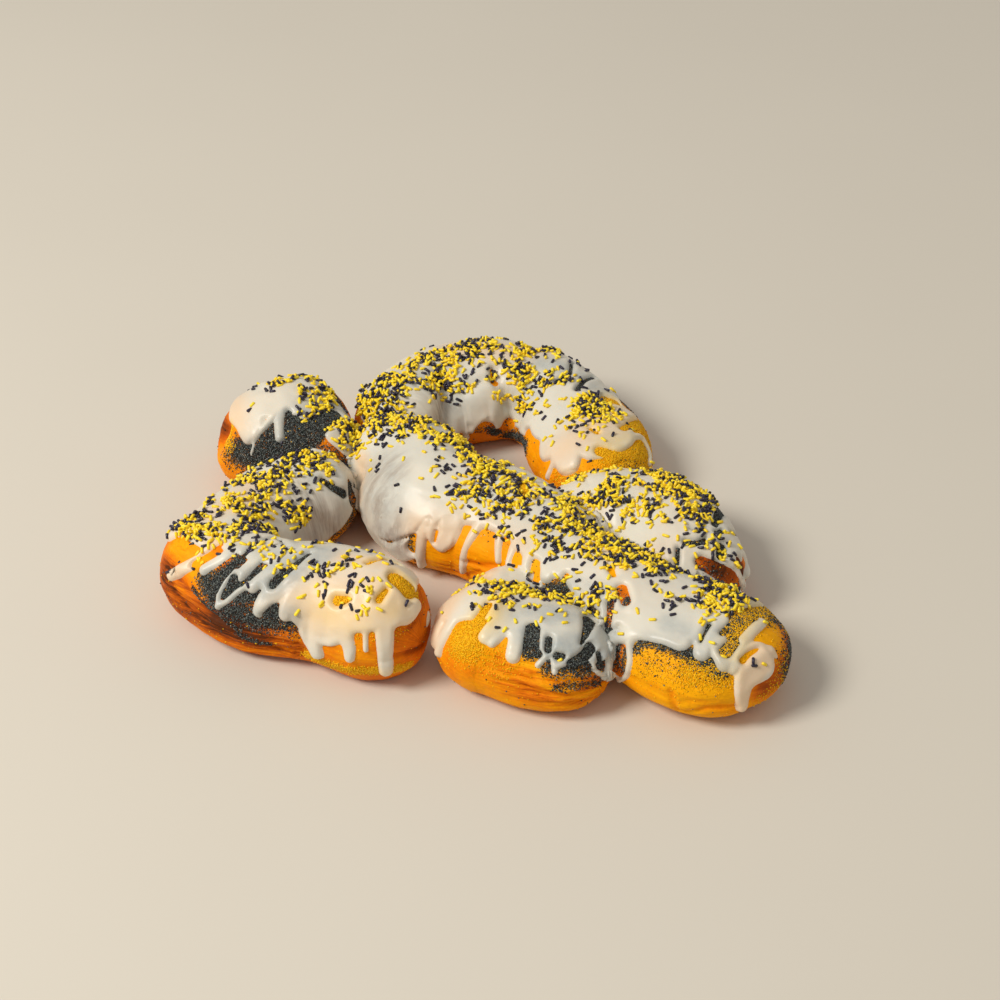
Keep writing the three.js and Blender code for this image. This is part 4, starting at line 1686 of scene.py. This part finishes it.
def model_of(piece: Piece) -> tuple[Array, Array]:
    """Reads a small piece, and removes it.

    Args:
        piece: the piece.

    Returns:
        Its points and triangles.
    """
    points, triangles = read_points(piece), read_triangles(piece)
    mesh = piece.data
    bpy.data.objects.remove(piece)
    bpy.data.meshes.remove(mesh)
    return points, triangles


def strew(name: str, model: tuple[Array, Array], places: Array, axes: Array,
          random: np.random.Generator) -> Piece:
    """Copies a model to many places, as one piece with a tone for each copy.

    Args:
        name: the piece's name.
        model: the model's points and triangles.
        places: where each copy's centre goes.
        axes: each copy's three axes, as rows, with its scale.
        random: where the tones come from.

    Returns:
        The piece.
    """
    points, triangles = model
    moved = np.einsum("vi,nij->nvj", points, axes) + places[:, None]
    shifted = triangles[None] + (np.arange(len(places)) * len(points))[:, None, None]
    piece = triangle_piece(name, moved.reshape(-1, 3), shifted.reshape(-1, 3))
    label(piece, "tone", np.repeat(random.random(len(places)), len(points)))
    return piece


@dataclass
class Sprinkles:
    """Rod sprinkles, thick along the crests, lying on the icing and on each other."""

    icing: Icing
    diameter: float = 2.1
    length: float = 4.9
    lengths: Pair = (0.8, 1.12)  # the shortest and the longest, as shares of it
    bevel: float = 0.45
    sides: int = 6
    smooth_angle: float = 65.0
    count: int = 5400
    tries: int = 30000
    crowd: float = 2.2  # rods whose centres are closer than this lie on each other
    most_layers: int = 2
    lift: float = 0.75  # of a rod on another one
    sunk: float = 0.3
    lean: float = 0.34  # how far a rod tips out of the surface
    stray_density: float = 0.012
    crest_density: float = 0.05
    crest_width: float = 34.0  # degrees from the crest
    heaps: Pair = (0.7, 1.2)  # mean density, and how far it swings
    heap_limits: Pair = (0.08, 2.0)
    heap_size: float = 15.0
    level_enough: Pair = (0.12, 0.6)  # rises of the normal between which more of them stay
    across: Triple = (0.31, 0.95, 0.05)  # a rod with no yaw lies square to this
    yellow_share: float = 0.62
    yellow_swing: float = 0.24
    clump_size: float = 9.0
    place_seed: int = 31
    colour_seed: int = 41
    noise: ValueNoise = field(default_factory=lambda: ValueNoise(37))

    def build(self) -> dict[Tint, Piece]:
        """Models one rod and copies it to its places.

        Returns:
            One piece for each colour.
        """
        rod = self._rod()
        places, axes = self._lay()
        clump = self.noise.at(places, self.clump_size)
        random = np.random.default_rng(self.colour_seed)
        yellow = random.random(len(places)) < self.yellow_share + self.yellow_swing * clump
        pieces = {}
        for tint, chosen in ((Tint.YELLOW, yellow), (Tint.DARK, ~yellow)):
            name = f"rod_sprinkles_{tint.value}"
            piece = strew(name, rod, places[chosen], axes[chosen], random)
            select(piece)
            bpy.ops.object.shade_smooth_by_angle(angle=math.radians(self.smooth_angle))
            pieces[tint] = piece
        return pieces

    def _rod(self) -> tuple[Array, Array]:
        """Models a rod along X with softened ends.

        Returns:
            Its points and triangles.
        """
        select()
        bpy.ops.mesh.primitive_cylinder_add(
            vertices=self.sides, radius=self.diameter / 2 * MM, depth=self.length * MM,
            end_fill_type="NGON", location=(0, 0, 0))
        bpy.ops.object.mode_set(mode="EDIT")
        bpy.ops.mesh.select_all(action="SELECT")
        bpy.ops.transform.rotate(value=math.pi / 2, orient_axis="Y", center_override=(0, 0, 0))
        bpy.ops.object.mode_set(mode="OBJECT")
        rod = bpy.context.view_layer.objects.active
        pick(rod, Part.EDGE, [self._on_rim(rod, edge) for edge in rod.data.edges])
        bpy.ops.mesh.bevel(offset=self.bevel * MM, segments=1)
        bpy.ops.mesh.select_all(action="SELECT")
        bpy.ops.mesh.quads_convert_to_tris()
        bpy.ops.object.mode_set(mode="OBJECT")
        return model_of(rod)

    def _on_rim(self, rod: Piece, edge: bpy.types.MeshEdge) -> bool:
        """Whether an edge lies round one of the rod's ends."""
        both = sum(rod.data.vertices[vertex].co.x for vertex in edge.vertices)
        return abs(both) > self.length * MM / 2

    def _lay(self) -> tuple[Array, Array]:
        """Chooses where the rods lie, and which way each one points.

        Returns:
            The rods' centres, and their three axes as rows.
        """
        facets = Facets.of(self.icing.piece)
        bread = self.icing.bread
        survey = Survey(bread.rolls, facets.centre)
        crest = np.exp(-((survey.owned("descent") / self.crest_width) ** 2))
        mean, swing = self.heaps
        heaps = mean + swing * self.noise.fractal(facets.centre, self.heap_size, 2)
        painted = bread.canvas.paint(SPRINKLED, facets.centre)
        density = (self.crest_density * crest + painted) * np.clip(heaps, *self.heap_limits)
        density = density + self.stray_density
        density = density * smoothstep(*self.level_enough, facets.normal[:, 2])
        random = np.random.default_rng(self.place_seed)
        spots, normals = facets.scatter(density, self.tries, random)
        kept, layers = self._stack(spots)
        spots, normals = spots[kept], normals[kept]
        level = self.diameter * (0.5 - self.sunk) + layers * self.lift
        yaw = random.random(len(spots)) * math.pi
        ahead = unit(np.cross(normals, self.across))
        aside = np.cross(normals, ahead)
        long_axis = ahead * np.cos(yaw)[:, None] + aside * np.sin(yaw)[:, None]
        tip = random.normal(0, self.lean, len(spots)) * (1 + layers)
        long_axis = unit(long_axis + normals * tip[:, None])
        cross = unit(np.cross(normals, long_axis))
        size = random.uniform(*self.lengths, len(spots))
        axes = np.stack([long_axis * size[:, None], cross, np.cross(long_axis, cross)], axis=1)
        return spots + normals * level[:, None], axes

    def _stack(self, spots: Array) -> tuple[Array, Array]:
        """Takes places in turn, on top of what lies there, and skips those that are full.

        Args:
            spots: the places.

        Returns:
            Which of them are taken, and how many rods lie under each.
        """
        cells: dict[tuple[int, int, int], list[Array]] = {}
        kept, layers = [], []
        for index, spot in enumerate(spots):
            home = tuple(np.floor(spot / self.crowd).astype(int))
            close = 0
            for step in np.ndindex(3, 3, 3):
                cell = tuple(at + move - 1 for at, move in zip(home, step))
                for other in cells.get(cell, ()):
                    close += float(((spot - other) ** 2).sum()) < self.crowd**2
            if close > self.most_layers:
                continue
            cells.setdefault(home, []).append(spot)
            kept.append(index)
            layers.append(close)
            if len(kept) == self.count:
                break
        return np.array(kept), np.array(layers, float)


@dataclass(frozen=True)
class Strewing:
    """The crystals of one colour: where they lie, how many, and the seed of their places."""

    tint: Tint
    strokes: tuple[Stroke, ...]
    count: int
    seed: int


@dataclass
class SugarCrystals:
    """Coarse coloured sugar that sticks to the crust where the icing leaves it bare."""

    bread: Bread
    covered: Array  # how far inside the icing's edge each vertex of the bread is
    size: float = 0.52  # from its middle to a corner
    height: float = 1.5  # of its size
    sizes: Pair = (0.6, 1.25)  # the smallest and the largest, as shares of it
    raised: float = 0.2  # of its size, over the crust
    bare_depths: Pair = (-1.6, -0.2)  # from the icing's edge, over which it stops
    heights: Pair = (2.0, 6.0)  # above the floor, over which it starts
    gathering: float = 1.3  # how much denser it is in the middle of a stroke
    stray_density: float = 0.0015
    strewings: tuple[Strewing, ...] = (Strewing(Tint.DARK, DARK_SUGAR_AND_SHADE, count=24000, seed=51),
                                       Strewing(Tint.YELLOW, YELLOW_SUGAR, count=17000, seed=52))

    def build(self) -> dict[Tint, Piece]:
        """Models one crystal and copies it over the crust.

        Returns:
            One piece for each colour.
        """
        select()
        bpy.ops.mesh.primitive_cylinder_add(
            vertices=3, radius=self.size * MM, depth=self.size * self.height * MM,
            location=(0, 0, 0))
        crystal = model_of(bpy.context.view_layer.objects.active)
        facets = Facets.of(self.bread.piece)
        triangles = read_triangles(self.bread.piece)
        bare = 1 - smoothstep(*self.bare_depths, self.covered[triangles].mean(1))
        above = smoothstep(*self.heights, facets.centre[:, 2])
        pieces = {}
        for strewing in self.strewings:
            random = np.random.default_rng(strewing.seed)
            painted = self.bread.canvas.paint(strewing.strokes, facets.centre)
            density = (painted**self.gathering + self.stray_density) * bare * above
            spots, normals = facets.scatter(density, strewing.count, random)
            turns = self._turns(random.normal(size=(strewing.count, 4)))
            sizes = random.uniform(*self.sizes, strewing.count)
            spots = spots + normals * self.size * self.raised
            name = f"sugar_crystals_{strewing.tint.value}"
            axes = turns * sizes[:, None, None]
            pieces[strewing.tint] = strew(name, crystal, spots, axes, random)
        return pieces

    def _turns(self, quaternions: Array) -> Array:
        """The rotation matrices of quaternions of any length.

        Args:
            quaternions: one in each row.

        Returns:
            One matrix for each.
        """
        w, x, y, z = unit(quaternions).T
        rows = [1 - 2 * (y * y + z * z), 2 * (x * y - z * w), 2 * (x * z + y * w),
                2 * (x * y + z * w), 1 - 2 * (x * x + z * z), 2 * (y * z - x * w),
                2 * (x * z - y * w), 2 * (y * z + x * w), 1 - 2 * (x * x + y * y)]
        return np.stack(rows, axis=1).reshape(-1, 3, 3)


# ---- finishes ----


def srgb(colour: Colour) -> tuple[float, float, float, float]:
    """Turns a display colour into the linear colour that shaders use.

    Args:
        colour: its red, green and blue, up to 255.

    Returns:
        The linear colour, opaque.
    """
    parts = [value / 255 for value in colour]
    linear = [p / 12.92 if p <= 0.04045 else ((p + 0.055) / 1.055) ** 2.4 for p in parts]
    return (*linear, 1.0)


class NodeSheet:
    """Adds and joins the nodes of one material or group."""

    def __init__(self, tree: bpy.types.NodeTree) -> None:
        """Starts on a tree."""
        self.tree = tree

    def add(self, kind: str, sockets: dict | None = None, **settings: object) -> bpy.types.Node:
        """Adds a node.

        Args:
            kind: the node's type, without its ShaderNode start.
            sockets: values or other nodes' outputs, by the input's name or number.
            settings: the node's own settings.

        Returns:
            The node.
        """
        node = self.tree.nodes.new("ShaderNode" + kind)
        for name, value in settings.items():
            setattr(node, name, value)
        self.feed(node, sockets or {})
        return node

    def feed(self, node: bpy.types.Node, sockets: dict) -> None:
        """Feeds a node's inputs from outputs, or sets their values.

        Args:
            node: the node.
            sockets: outputs or values, by the input's name or number.
        """
        for name, value in sockets.items():
            if isinstance(value, Socket):
                self.tree.links.new(value, node.inputs[name])
            else:
                node.inputs[name].default_value = value

    def math(self, operation: str, a: object, b: object, clamp: bool = False) -> Socket:
        """The result of one sum."""
        return self.add("Math", {0: a, 1: b}, operation=operation, use_clamp=clamp).outputs[0]

    def plus(self, a: object, b: object, clamp: bool = False) -> Socket:
        """Two values added."""
        return self.math("ADD", a, b, clamp)

    def times(self, a: object, b: object, clamp: bool = False) -> Socket:
        """Two values multiplied."""
        return self.math("MULTIPLY", a, b, clamp)

    def mix(self, share: object, a: object, b: object) -> Socket:
        """A colour between two."""
        return self.add("Mix", {0: share, 6: a, 7: b}, data_type="RGBA").outputs[2]

    def rescale(self, value: Socket, low: float, high: float,
                start: float = 0.0, end: float = 1.0) -> Socket:
        """Moves a value from the range between start and end to another, and keeps it there."""
        values = {"Value": value, "From Min": start, "From Max": end, "To Min": low, "To Max": high}
        return self.add("MapRange", values).outputs[0]

    def where(self) -> Socket:
        """The place on the object."""
        return self.add("TexCoord").outputs["Object"]

    def noted(self, name: str, output: str = "Fac") -> Socket:
        """A number, or a vector, that is noted at the vertices."""
        return self.add("Attribute", attribute_name=name).outputs[output]

    def along_rolls(self, along: float, around: float) -> Socket:
        """The place on the roll, with a scale along it and one round it."""
        run = self.noted("grain", "Vector")
        return self.add("Mapping", {"Vector": run, "Scale": (along, around, 1)}).outputs[0]

    def noise(self, where: Socket, scale: float, detail: float = 3.0, rough: float = 0.5) -> Socket:
        """Soft noise from 0 to 1."""
        values = {"Vector": where, "Scale": scale, "Detail": detail, "Roughness": rough}
        return self.add("TexNoise", values).outputs[0]

    def swing(self, where: Socket, scale: float, detail: float, rough: float) -> Socket:
        """Soft noise from -0.5 to 0.5."""
        return self.math("SUBTRACT", self.noise(where, scale, detail, rough), 0.5)

    def ramp(self, value: Socket, stops: Sequence[tuple[float, Colour]]) -> Socket:
        """Reads a colour from stops.

        Args:
            value: where to read it, from 0 to 1.
            stops: the places and their colours.

        Returns:
            The colour.
        """
        node = self.add("ValToRGB", {0: value})
        elements = node.color_ramp.elements
        while len(elements) < len(stops):
            elements.new(0.5)
        for element, (place, colour) in zip(elements, stops):
            element.position, element.color = place, srgb(colour)
        return node.outputs[0]

    def bump(self, height: Socket, depth: float, strength: float = 1.0,
             over: Socket | None = None) -> Socket:
        """Bends the normal by a height.

        Args:
            height: from 0 to 1.
            depth: the millimetres that 1 stands for.
            strength: how much of it shows.
            over: a normal that is bent already.

        Returns:
            The normal.
        """
        values = {"Height": height, "Distance": depth * MM, "Strength": strength}
        if over is not None:
            values["Normal"] = over
        return self.add("Bump", values).outputs[0]

GRAIN_RADIUS = 0.62  # of a cell of strewn sugar


def grain_group() -> bpy.types.NodeTree:
    """Makes a group that strews round grains: a share of cells, each with a grain.

    Returns:
        The group.
    """
    tree = bpy.data.node_groups.new("strewn_grains", "ShaderNodeTree")
    for name, start in (("Density", 0.5), ("Scale", 1200.0), ("Shift", 0.0)):
        socket = tree.interface.new_socket(name, in_out="INPUT", socket_type="NodeSocketFloat")
        socket.default_value = start
    for name in ("Mask", "Height", "Tone"):
        tree.interface.new_socket(name, in_out="OUTPUT", socket_type="NodeSocketFloat")
    sheet = NodeSheet(tree)
    given = tree.nodes.new("NodeGroupInput").outputs
    moved = sheet.add("VectorMath", {0: sheet.where(), 1: given["Shift"]}, operation="ADD")
    cells = sheet.add("TexVoronoi", {"Vector": moved.outputs[0], "Scale": given["Scale"]}).outputs
    parts = sheet.add("SeparateColor", {0: cells["Color"]}).outputs
    strewn = sheet.math("LESS_THAN", parts[0], given["Density"])
    inside = sheet.math("LESS_THAN", cells["Distance"], GRAIN_RADIUS)
    mask = sheet.times(strewn, inside)
    dome = sheet.math("SUBTRACT", GRAIN_RADIUS, cells["Distance"])
    sheet.feed(tree.nodes.new("NodeGroupOutput"),
               {"Mask": mask, "Height": sheet.times(mask, dome), "Tone": parts[1]})
    return tree


def new_material(name: str) -> tuple[bpy.types.Material, NodeSheet, bpy.types.Node]:
    """Makes an empty material.

    Args:
        name: what it's called.

    Returns:
        The material, its sheet of nodes and its main shader.
    """
    material = bpy.data.materials.new(name)
    material.use_nodes = True
    sheet = NodeSheet(material.node_tree)
    return material, sheet, material.node_tree.nodes["Principled BSDF"]


@dataclass(frozen=True)
class StuckSugar:
    """How sugar of one colour looks that sticks to the crust, with a painted glint colour for a few
    grains.
    """

    mark: str  # its name among the vertices' notes
    cells: float  # to a metre
    shift: float
    deep: Colour
    light: Colour
    stain: Colour
    # a painted glint on a few grains
    painted_glint: Colour


@dataclass(frozen=True)
class CrustFinish:
    """Glossy egg-washed crust, gold to brown, with coarse sugar stuck to it, painted light and
    shade along its wrinkles and painted glints on a few grains.
    """

    browning: tuple[tuple[float, Colour], ...] = (
        (0.0, (250, 172, 6)), (0.28, (248, 152, 4)), (0.52, (232, 120, 5)),
        (0.76, (178, 80, 8)), (1.0, (88, 42, 14)))
    sugars: tuple[StuckSugar, ...] = (
        StuckSugar("yellow_sugar", 1700.0, 0.31, deep=(255, 194, 4), light=(250, 172, 6),
                   stain=(240, 164, 4), painted_glint=(255, 224, 84)),
        StuckSugar("dark_sugar", 1800.0, 0.0, deep=(12, 14, 20), light=(84, 94, 84),
                   stain=(36, 30, 26), painted_glint=(196, 204, 192)))
    mottling: float = 0.42
    flecking: float = 0.35
    furrowing: float = 0.42  # where the crust isn't wrinkled
    clumping: Pair = (1.3, 0.72)  # how much the noise adds, and what is taken off again
    staining: Pair = (1.8, 0.92)  # power and strength
    glint_tone: float = 0.92  # the tone above which a grain is painted in its glint colour
    furrow_height: float = 3.2
    pore_height: float = 0.5
    skin_bump: Pair = (0.5, 0.8)  # depth and strength
    sugar_bump: float = 0.9
    roughness: Pair = (0.42, 0.62)
    sugar_roughness: float = 0.12  # what the grains add
    specular: float = 0.08

    def make(self, grains: bpy.types.NodeTree) -> bpy.types.Material:
        """Builds the material.

        Args:
            grains: the group that strews them.

        Returns:
            The material.
        """
        material, sheet, shader = new_material("egg_washed_crust")
        where = sheet.where()
        mottle = sheet.times(sheet.swing(where, scale=90, detail=4, rough=0.6), self.mottling)
        streaks = sheet.swing(sheet.along_rolls(60, 420), scale=1.0, detail=4, rough=0.6)
        furrow_relief_and_shade = sheet.times(streaks, sheet.plus(sheet.noted("wrinkled"), self.furrowing))
        # the furrows are relief, and also lighten and darken the tone in streaks: partly the
        # crust's own stretch marks, partly painted light and shade of the wrinkles
        tone = sheet.plus(sheet.plus(sheet.noted("bake"), mottle), furrow_relief_and_shade)
        fleck = sheet.swing(where, scale=420, detail=3, rough=0.7)
        shade = sheet.plus(sheet.times(fleck, self.flecking), 1.0)
        colour = {0: sheet.ramp(tone, self.browning), "Scale": shade}
        base = sheet.add("VectorMath", colour, operation="SCALE").outputs[0]
        masks, heights = [], []
        for sugar in self.sugars:
            base, mask, height = self._strew(sheet, grains, sugar, base)
            masks.append(mask)
            heights.append(height)
        pores = sheet.noise(where, scale=700, detail=4, rough=0.65)
        skin = sheet.plus(sheet.times(furrow_relief_and_shade, self.furrow_height),
                          sheet.times(pores, self.pore_height))
        normal = sheet.bump(skin, *self.skin_bump)
        normal = sheet.bump(sheet.math("MAXIMUM", *heights), self.sugar_bump, over=normal)
        rough = sheet.rescale(sheet.noise(where, scale=160), *self.roughness)
        added = sheet.times(sheet.math("MAXIMUM", *masks), self.sugar_roughness)
        sheet.feed(shader, {"Base Color": base, "Roughness": sheet.plus(rough, added),
                            "Normal": normal, "Specular IOR Level": self.specular})
        return material

    def _strew(self, sheet: NodeSheet, grains: bpy.types.NodeTree, sugar: StuckSugar,
               base: Socket) -> tuple[Socket, Socket, Socket]:
        """Lays the grains of one sugar, a few of them with painted glints, and the stain round
        them, on a colour.

        Args:
            sheet: the material's nodes.
            grains: the group that strews them.
            sugar: how they look.
            base: the colour under them.

        Returns:
            The colour, where the grains are, and how high they stand.
        """
        density = sheet.noted(sugar.mark)
        added, taken = self.clumping
        noise = sheet.noise(sheet.where(), scale=260, detail=2)
        clumps = sheet.math("SUBTRACT", sheet.times(noise, added), taken)
        spread = sheet.plus(density, sheet.times(clumps, density), clamp=True)
        power, strength = self.staining
        stained = sheet.times(sheet.math("POWER", spread, power), strength)
        base = sheet.mix(stained, base, srgb(sugar.stain))
        values = {"Density": spread, "Scale": sugar.cells, "Shift": sugar.shift}
        strewn = sheet.add("Group", values, node_tree=grains).outputs
        tint = sheet.mix(strewn["Tone"], srgb(sugar.deep), srgb(sugar.light))
        # painted glints: the grains of the highest tone get a bright colour
        glinting = sheet.math("GREATER_THAN", strewn["Tone"], self.glint_tone)
        tint = sheet.mix(glinting, tint, srgb(sugar.painted_glint))
        return sheet.mix(strewn["Mask"], base, tint), strewn["Mask"], strewn["Height"]


@dataclass(frozen=True)
class IcingFinish:
    """Set sugar glaze: cream white, bluish grey over dark sugar and as painted shade on its inner
    walls, peach where it is thin, and brownish as painted shade in its hollows.
    """

    cream: Colour = (220, 215, 200)
    peach: Colour = (230, 203, 170)
    # grey: over dark sugar, and painted shade on the icing's inner walls
    grey: Colour = (154, 162, 162)
    # bare: the crust seen through thin icing, also painted shade in the icing's hollows
    bare: Colour = (146, 128, 112)
    honey: Colour = (240, 200, 96)
    patching: float = 1.5
    greying: float = 0.62
    gilding: float = 0.8
    baring_and_shading: float = 0.75
    streak_values: Pair = (0.38, 0.66)  # of the noise, over which a streak shows
    ripple_bump: Pair = (0.5, 0.5)  # depth and strength
    roughness: Pair = (0.3, 0.46)
    specular: float = 0.38
    glow: float = 0.12
    glow_depth: float = 2.5
    glow_colours: Triple = (1.0, 0.7, 0.5)  # how deep each one goes

    def make(self) -> bpy.types.Material:
        """Builds the material.

        Returns:
            The material.
        """
        material, sheet, shader = new_material("poured_glaze")
        where = sheet.where()
        patchy = sheet.noise(where, scale=70, detail=4, rough=0.6)
        patchy = sheet.times(patchy, self.patching, clamp=True)
        dark = sheet.times(sheet.noted("over_dark"), patchy)
        golden = sheet.times(sheet.noted("over_yellow"), patchy)
        streak = sheet.noise(sheet.along_rolls(240, 40), scale=1.0, detail=4, rough=0.6)
        streak = sheet.rescale(streak, 0.0, 1.0, *self.streak_values)
        thin = sheet.times(sheet.noted("thin"), streak, clamp=True)
        base = sheet.mix(sheet.noted("warmth"), srgb(self.cream), srgb(self.peach))
        base = sheet.mix(sheet.times(golden, self.gilding, clamp=True), base, srgb(self.honey))
        # grey over dark sugar and as painted shade on the inner walls
        base = sheet.mix(sheet.times(dark, self.greying, clamp=True), base, srgb(self.grey))
        # brownish where thin or in hollows: crust through the icing, and painted shade
        base = sheet.mix(sheet.times(thin, self.baring_and_shading), base, srgb(self.bare))
        ripple = sheet.noise(where, scale=110, detail=2)
        sheet.feed(shader, {
            "Base Color": base,
            "Roughness": sheet.rescale(sheet.noise(where, scale=120), *self.roughness),
            "Normal": sheet.bump(ripple, *self.ripple_bump),
            "Specular IOR Level": self.specular,
            "Subsurface Weight": self.glow,
            "Subsurface Radius": self.glow_colours,
            "Subsurface Scale": self.glow_depth * MM,
        })
        return material


@dataclass(frozen=True)
class CandyFinish:
    """Hard coloured sugar, as sprinkles or as crystals."""

    name: str
    deep: Colour
    light: Colour
    roughness: float = 0.35
    speckle: float = 900.0
    glint_contrast: float = 1.0  # above 1, few of them are light: painted glints
    specular: float = 0.5
    speckling: float = 0.6
    toning: float = 0.6
    roughness_swing: Pair = (0.08, 0.1)  # down and up
    speckle_bump: Pair = (0.12, 0.5)  # depth and strength

    def make(self) -> bpy.types.Material:
        """Builds the material.

        Returns:
            The material.
        """
        material, sheet, shader = new_material(self.name)
        grain = sheet.noise(sheet.where(), self.speckle, detail=2)
        share = sheet.plus(sheet.times(grain, self.speckling),
                           sheet.times(sheet.noted("tone"), self.toning))
        share = sheet.math("POWER", share, self.glint_contrast)
        down, up = self.roughness_swing
        sheet.feed(shader, {
            "Base Color": sheet.mix(share, srgb(self.deep), srgb(self.light)),
            "Roughness": sheet.rescale(grain, self.roughness - down, self.roughness + up),
            "Normal": sheet.bump(grain, *self.speckle_bump),
            "Specular IOR Level": self.specular,
        })
        return material


# ---- the studio ----


@dataclass
class Studio:
    """A pale floor, one large soft key light and an even fill."""

    floor_side: float = 14.0
    floor_colour: Colour = (216, 208, 193)
    floor_step: int = 4  # how much darker its clouds are
    floor_clouds: float = 3.0
    floor_roughness: float = 0.85
    key_from: Triple = (-0.43, -0.76, 0.9)
    key_distance: float = 3.4
    key_size: float = 1.25
    key_power: float = 89.0
    key_colour: Triple = (1.0, 0.97, 0.92)
    sky: tuple[float, float, float, float] = (1.0, 0.98, 0.95, 1.0)
    sky_strength: float = 0.46

    def build(self) -> None:
        """Sets the floor and the lights."""
        select()
        bpy.ops.mesh.primitive_plane_add(size=self.floor_side, location=(0, 0, 0))
        floor = bpy.context.view_layer.objects.active
        floor.name = "studio_floor"
        material, sheet, shader = new_material("matt_floor")
        clouds = sheet.noise(sheet.where(), self.floor_clouds, detail=2)
        darker = tuple(part - self.floor_step for part in self.floor_colour)
        base = sheet.mix(clouds, srgb(self.floor_colour), srgb(darker))
        sheet.feed(shader, {"Base Color": base, "Roughness": self.floor_roughness})
        floor.data.materials.append(material)
        self._key()
        world = bpy.data.worlds.new("soft_fill")
        world.use_nodes = True
        background = world.node_tree.nodes["Background"]
        background.inputs["Color"].default_value = self.sky
        background.inputs["Strength"].default_value = self.sky_strength
        bpy.context.scene.world = world
        bpy.context.scene.view_settings.view_transform = "Standard"

    def _key(self) -> None:
        """Hangs the key light, facing the bread."""
        away = Vector(self.key_from).normalized()
        data = bpy.data.lights.new("key", "AREA")
        data.shape = "DISK"
        data.size = self.key_size
        data.energy = self.key_power
        data.color = self.key_colour
        key = bpy.data.objects.new("key", data)
        bpy.context.scene.collection.objects.link(key)
        turn = away.to_track_quat("Z", "Y").to_matrix().to_4x4()
        key.matrix_world = Matrix.Translation(away * self.key_distance) @ turn


# ---- the whole ----


def report(piece: Piece) -> None:
    """Logs a piece's size."""
    points = read_points(piece).round(1)
    LOG.info("%s: %d triangles, %s to %s mm", piece.name, len(read_triangles(piece)),
             points.min(0).tolist(), points.max(0).tolist())


def main() -> None:
    """Builds the bread, its icing, its sprinkles and its sugar, and lights them."""
    logging.basicConfig(level=logging.INFO, format="%(relativeCreated)d ms %(message)s")
    view = Viewpoint()
    view.place_camera()
    rolls = {name: Roll(shape, index) for index, (name, shape) in enumerate(ROLLS.items())}
    grains = grain_group()

    bread = Bread(rolls, view)
    dough = bread.build()
    icing = Icing(bread)
    covered = icing.cover(bread.survey)
    glaze = icing.build(covered)
    bread.settle(covered)
    covered = icing.cover(bread.survey)
    bread.note_finish()
    icing.note_finish()
    dress(dough, CrustFinish().make(grains))
    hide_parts("bread")
    dress(glaze, IcingFinish().make())
    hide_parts("icing")
    report(dough)
    report(glaze)

    finishes = {
        Tint.YELLOW: CandyFinish("yellow_candy", (252, 204, 10), (255, 230, 44)),
        Tint.DARK: CandyFinish("dark_candy", (14, 12, 22), (50, 42, 64)),
    }
    for tint, rods in Sprinkles(icing).build().items():
        dress(rods, finishes[tint].make())
        report(rods)
    crystals = {
        Tint.YELLOW: CandyFinish("yellow_sugar", (242, 166, 6), (255, 204, 24),
                                 roughness=0.4, speckle=600, specular=0.2),
        # the light grey of the dark crystals is a painted glint on the few that the glint contrast
        # leaves light
        Tint.DARK: CandyFinish("dark_sugar", (8, 10, 16), (140, 148, 140),
                               roughness=0.3, speckle=600, glint_contrast=4.0),
    }
    for tint, sugar in SugarCrystals(bread, covered).build().items():
        dress(sugar, crystals[tint].make())
        report(sugar)

    Studio().build()


if __name__ == "__main__":
    main()
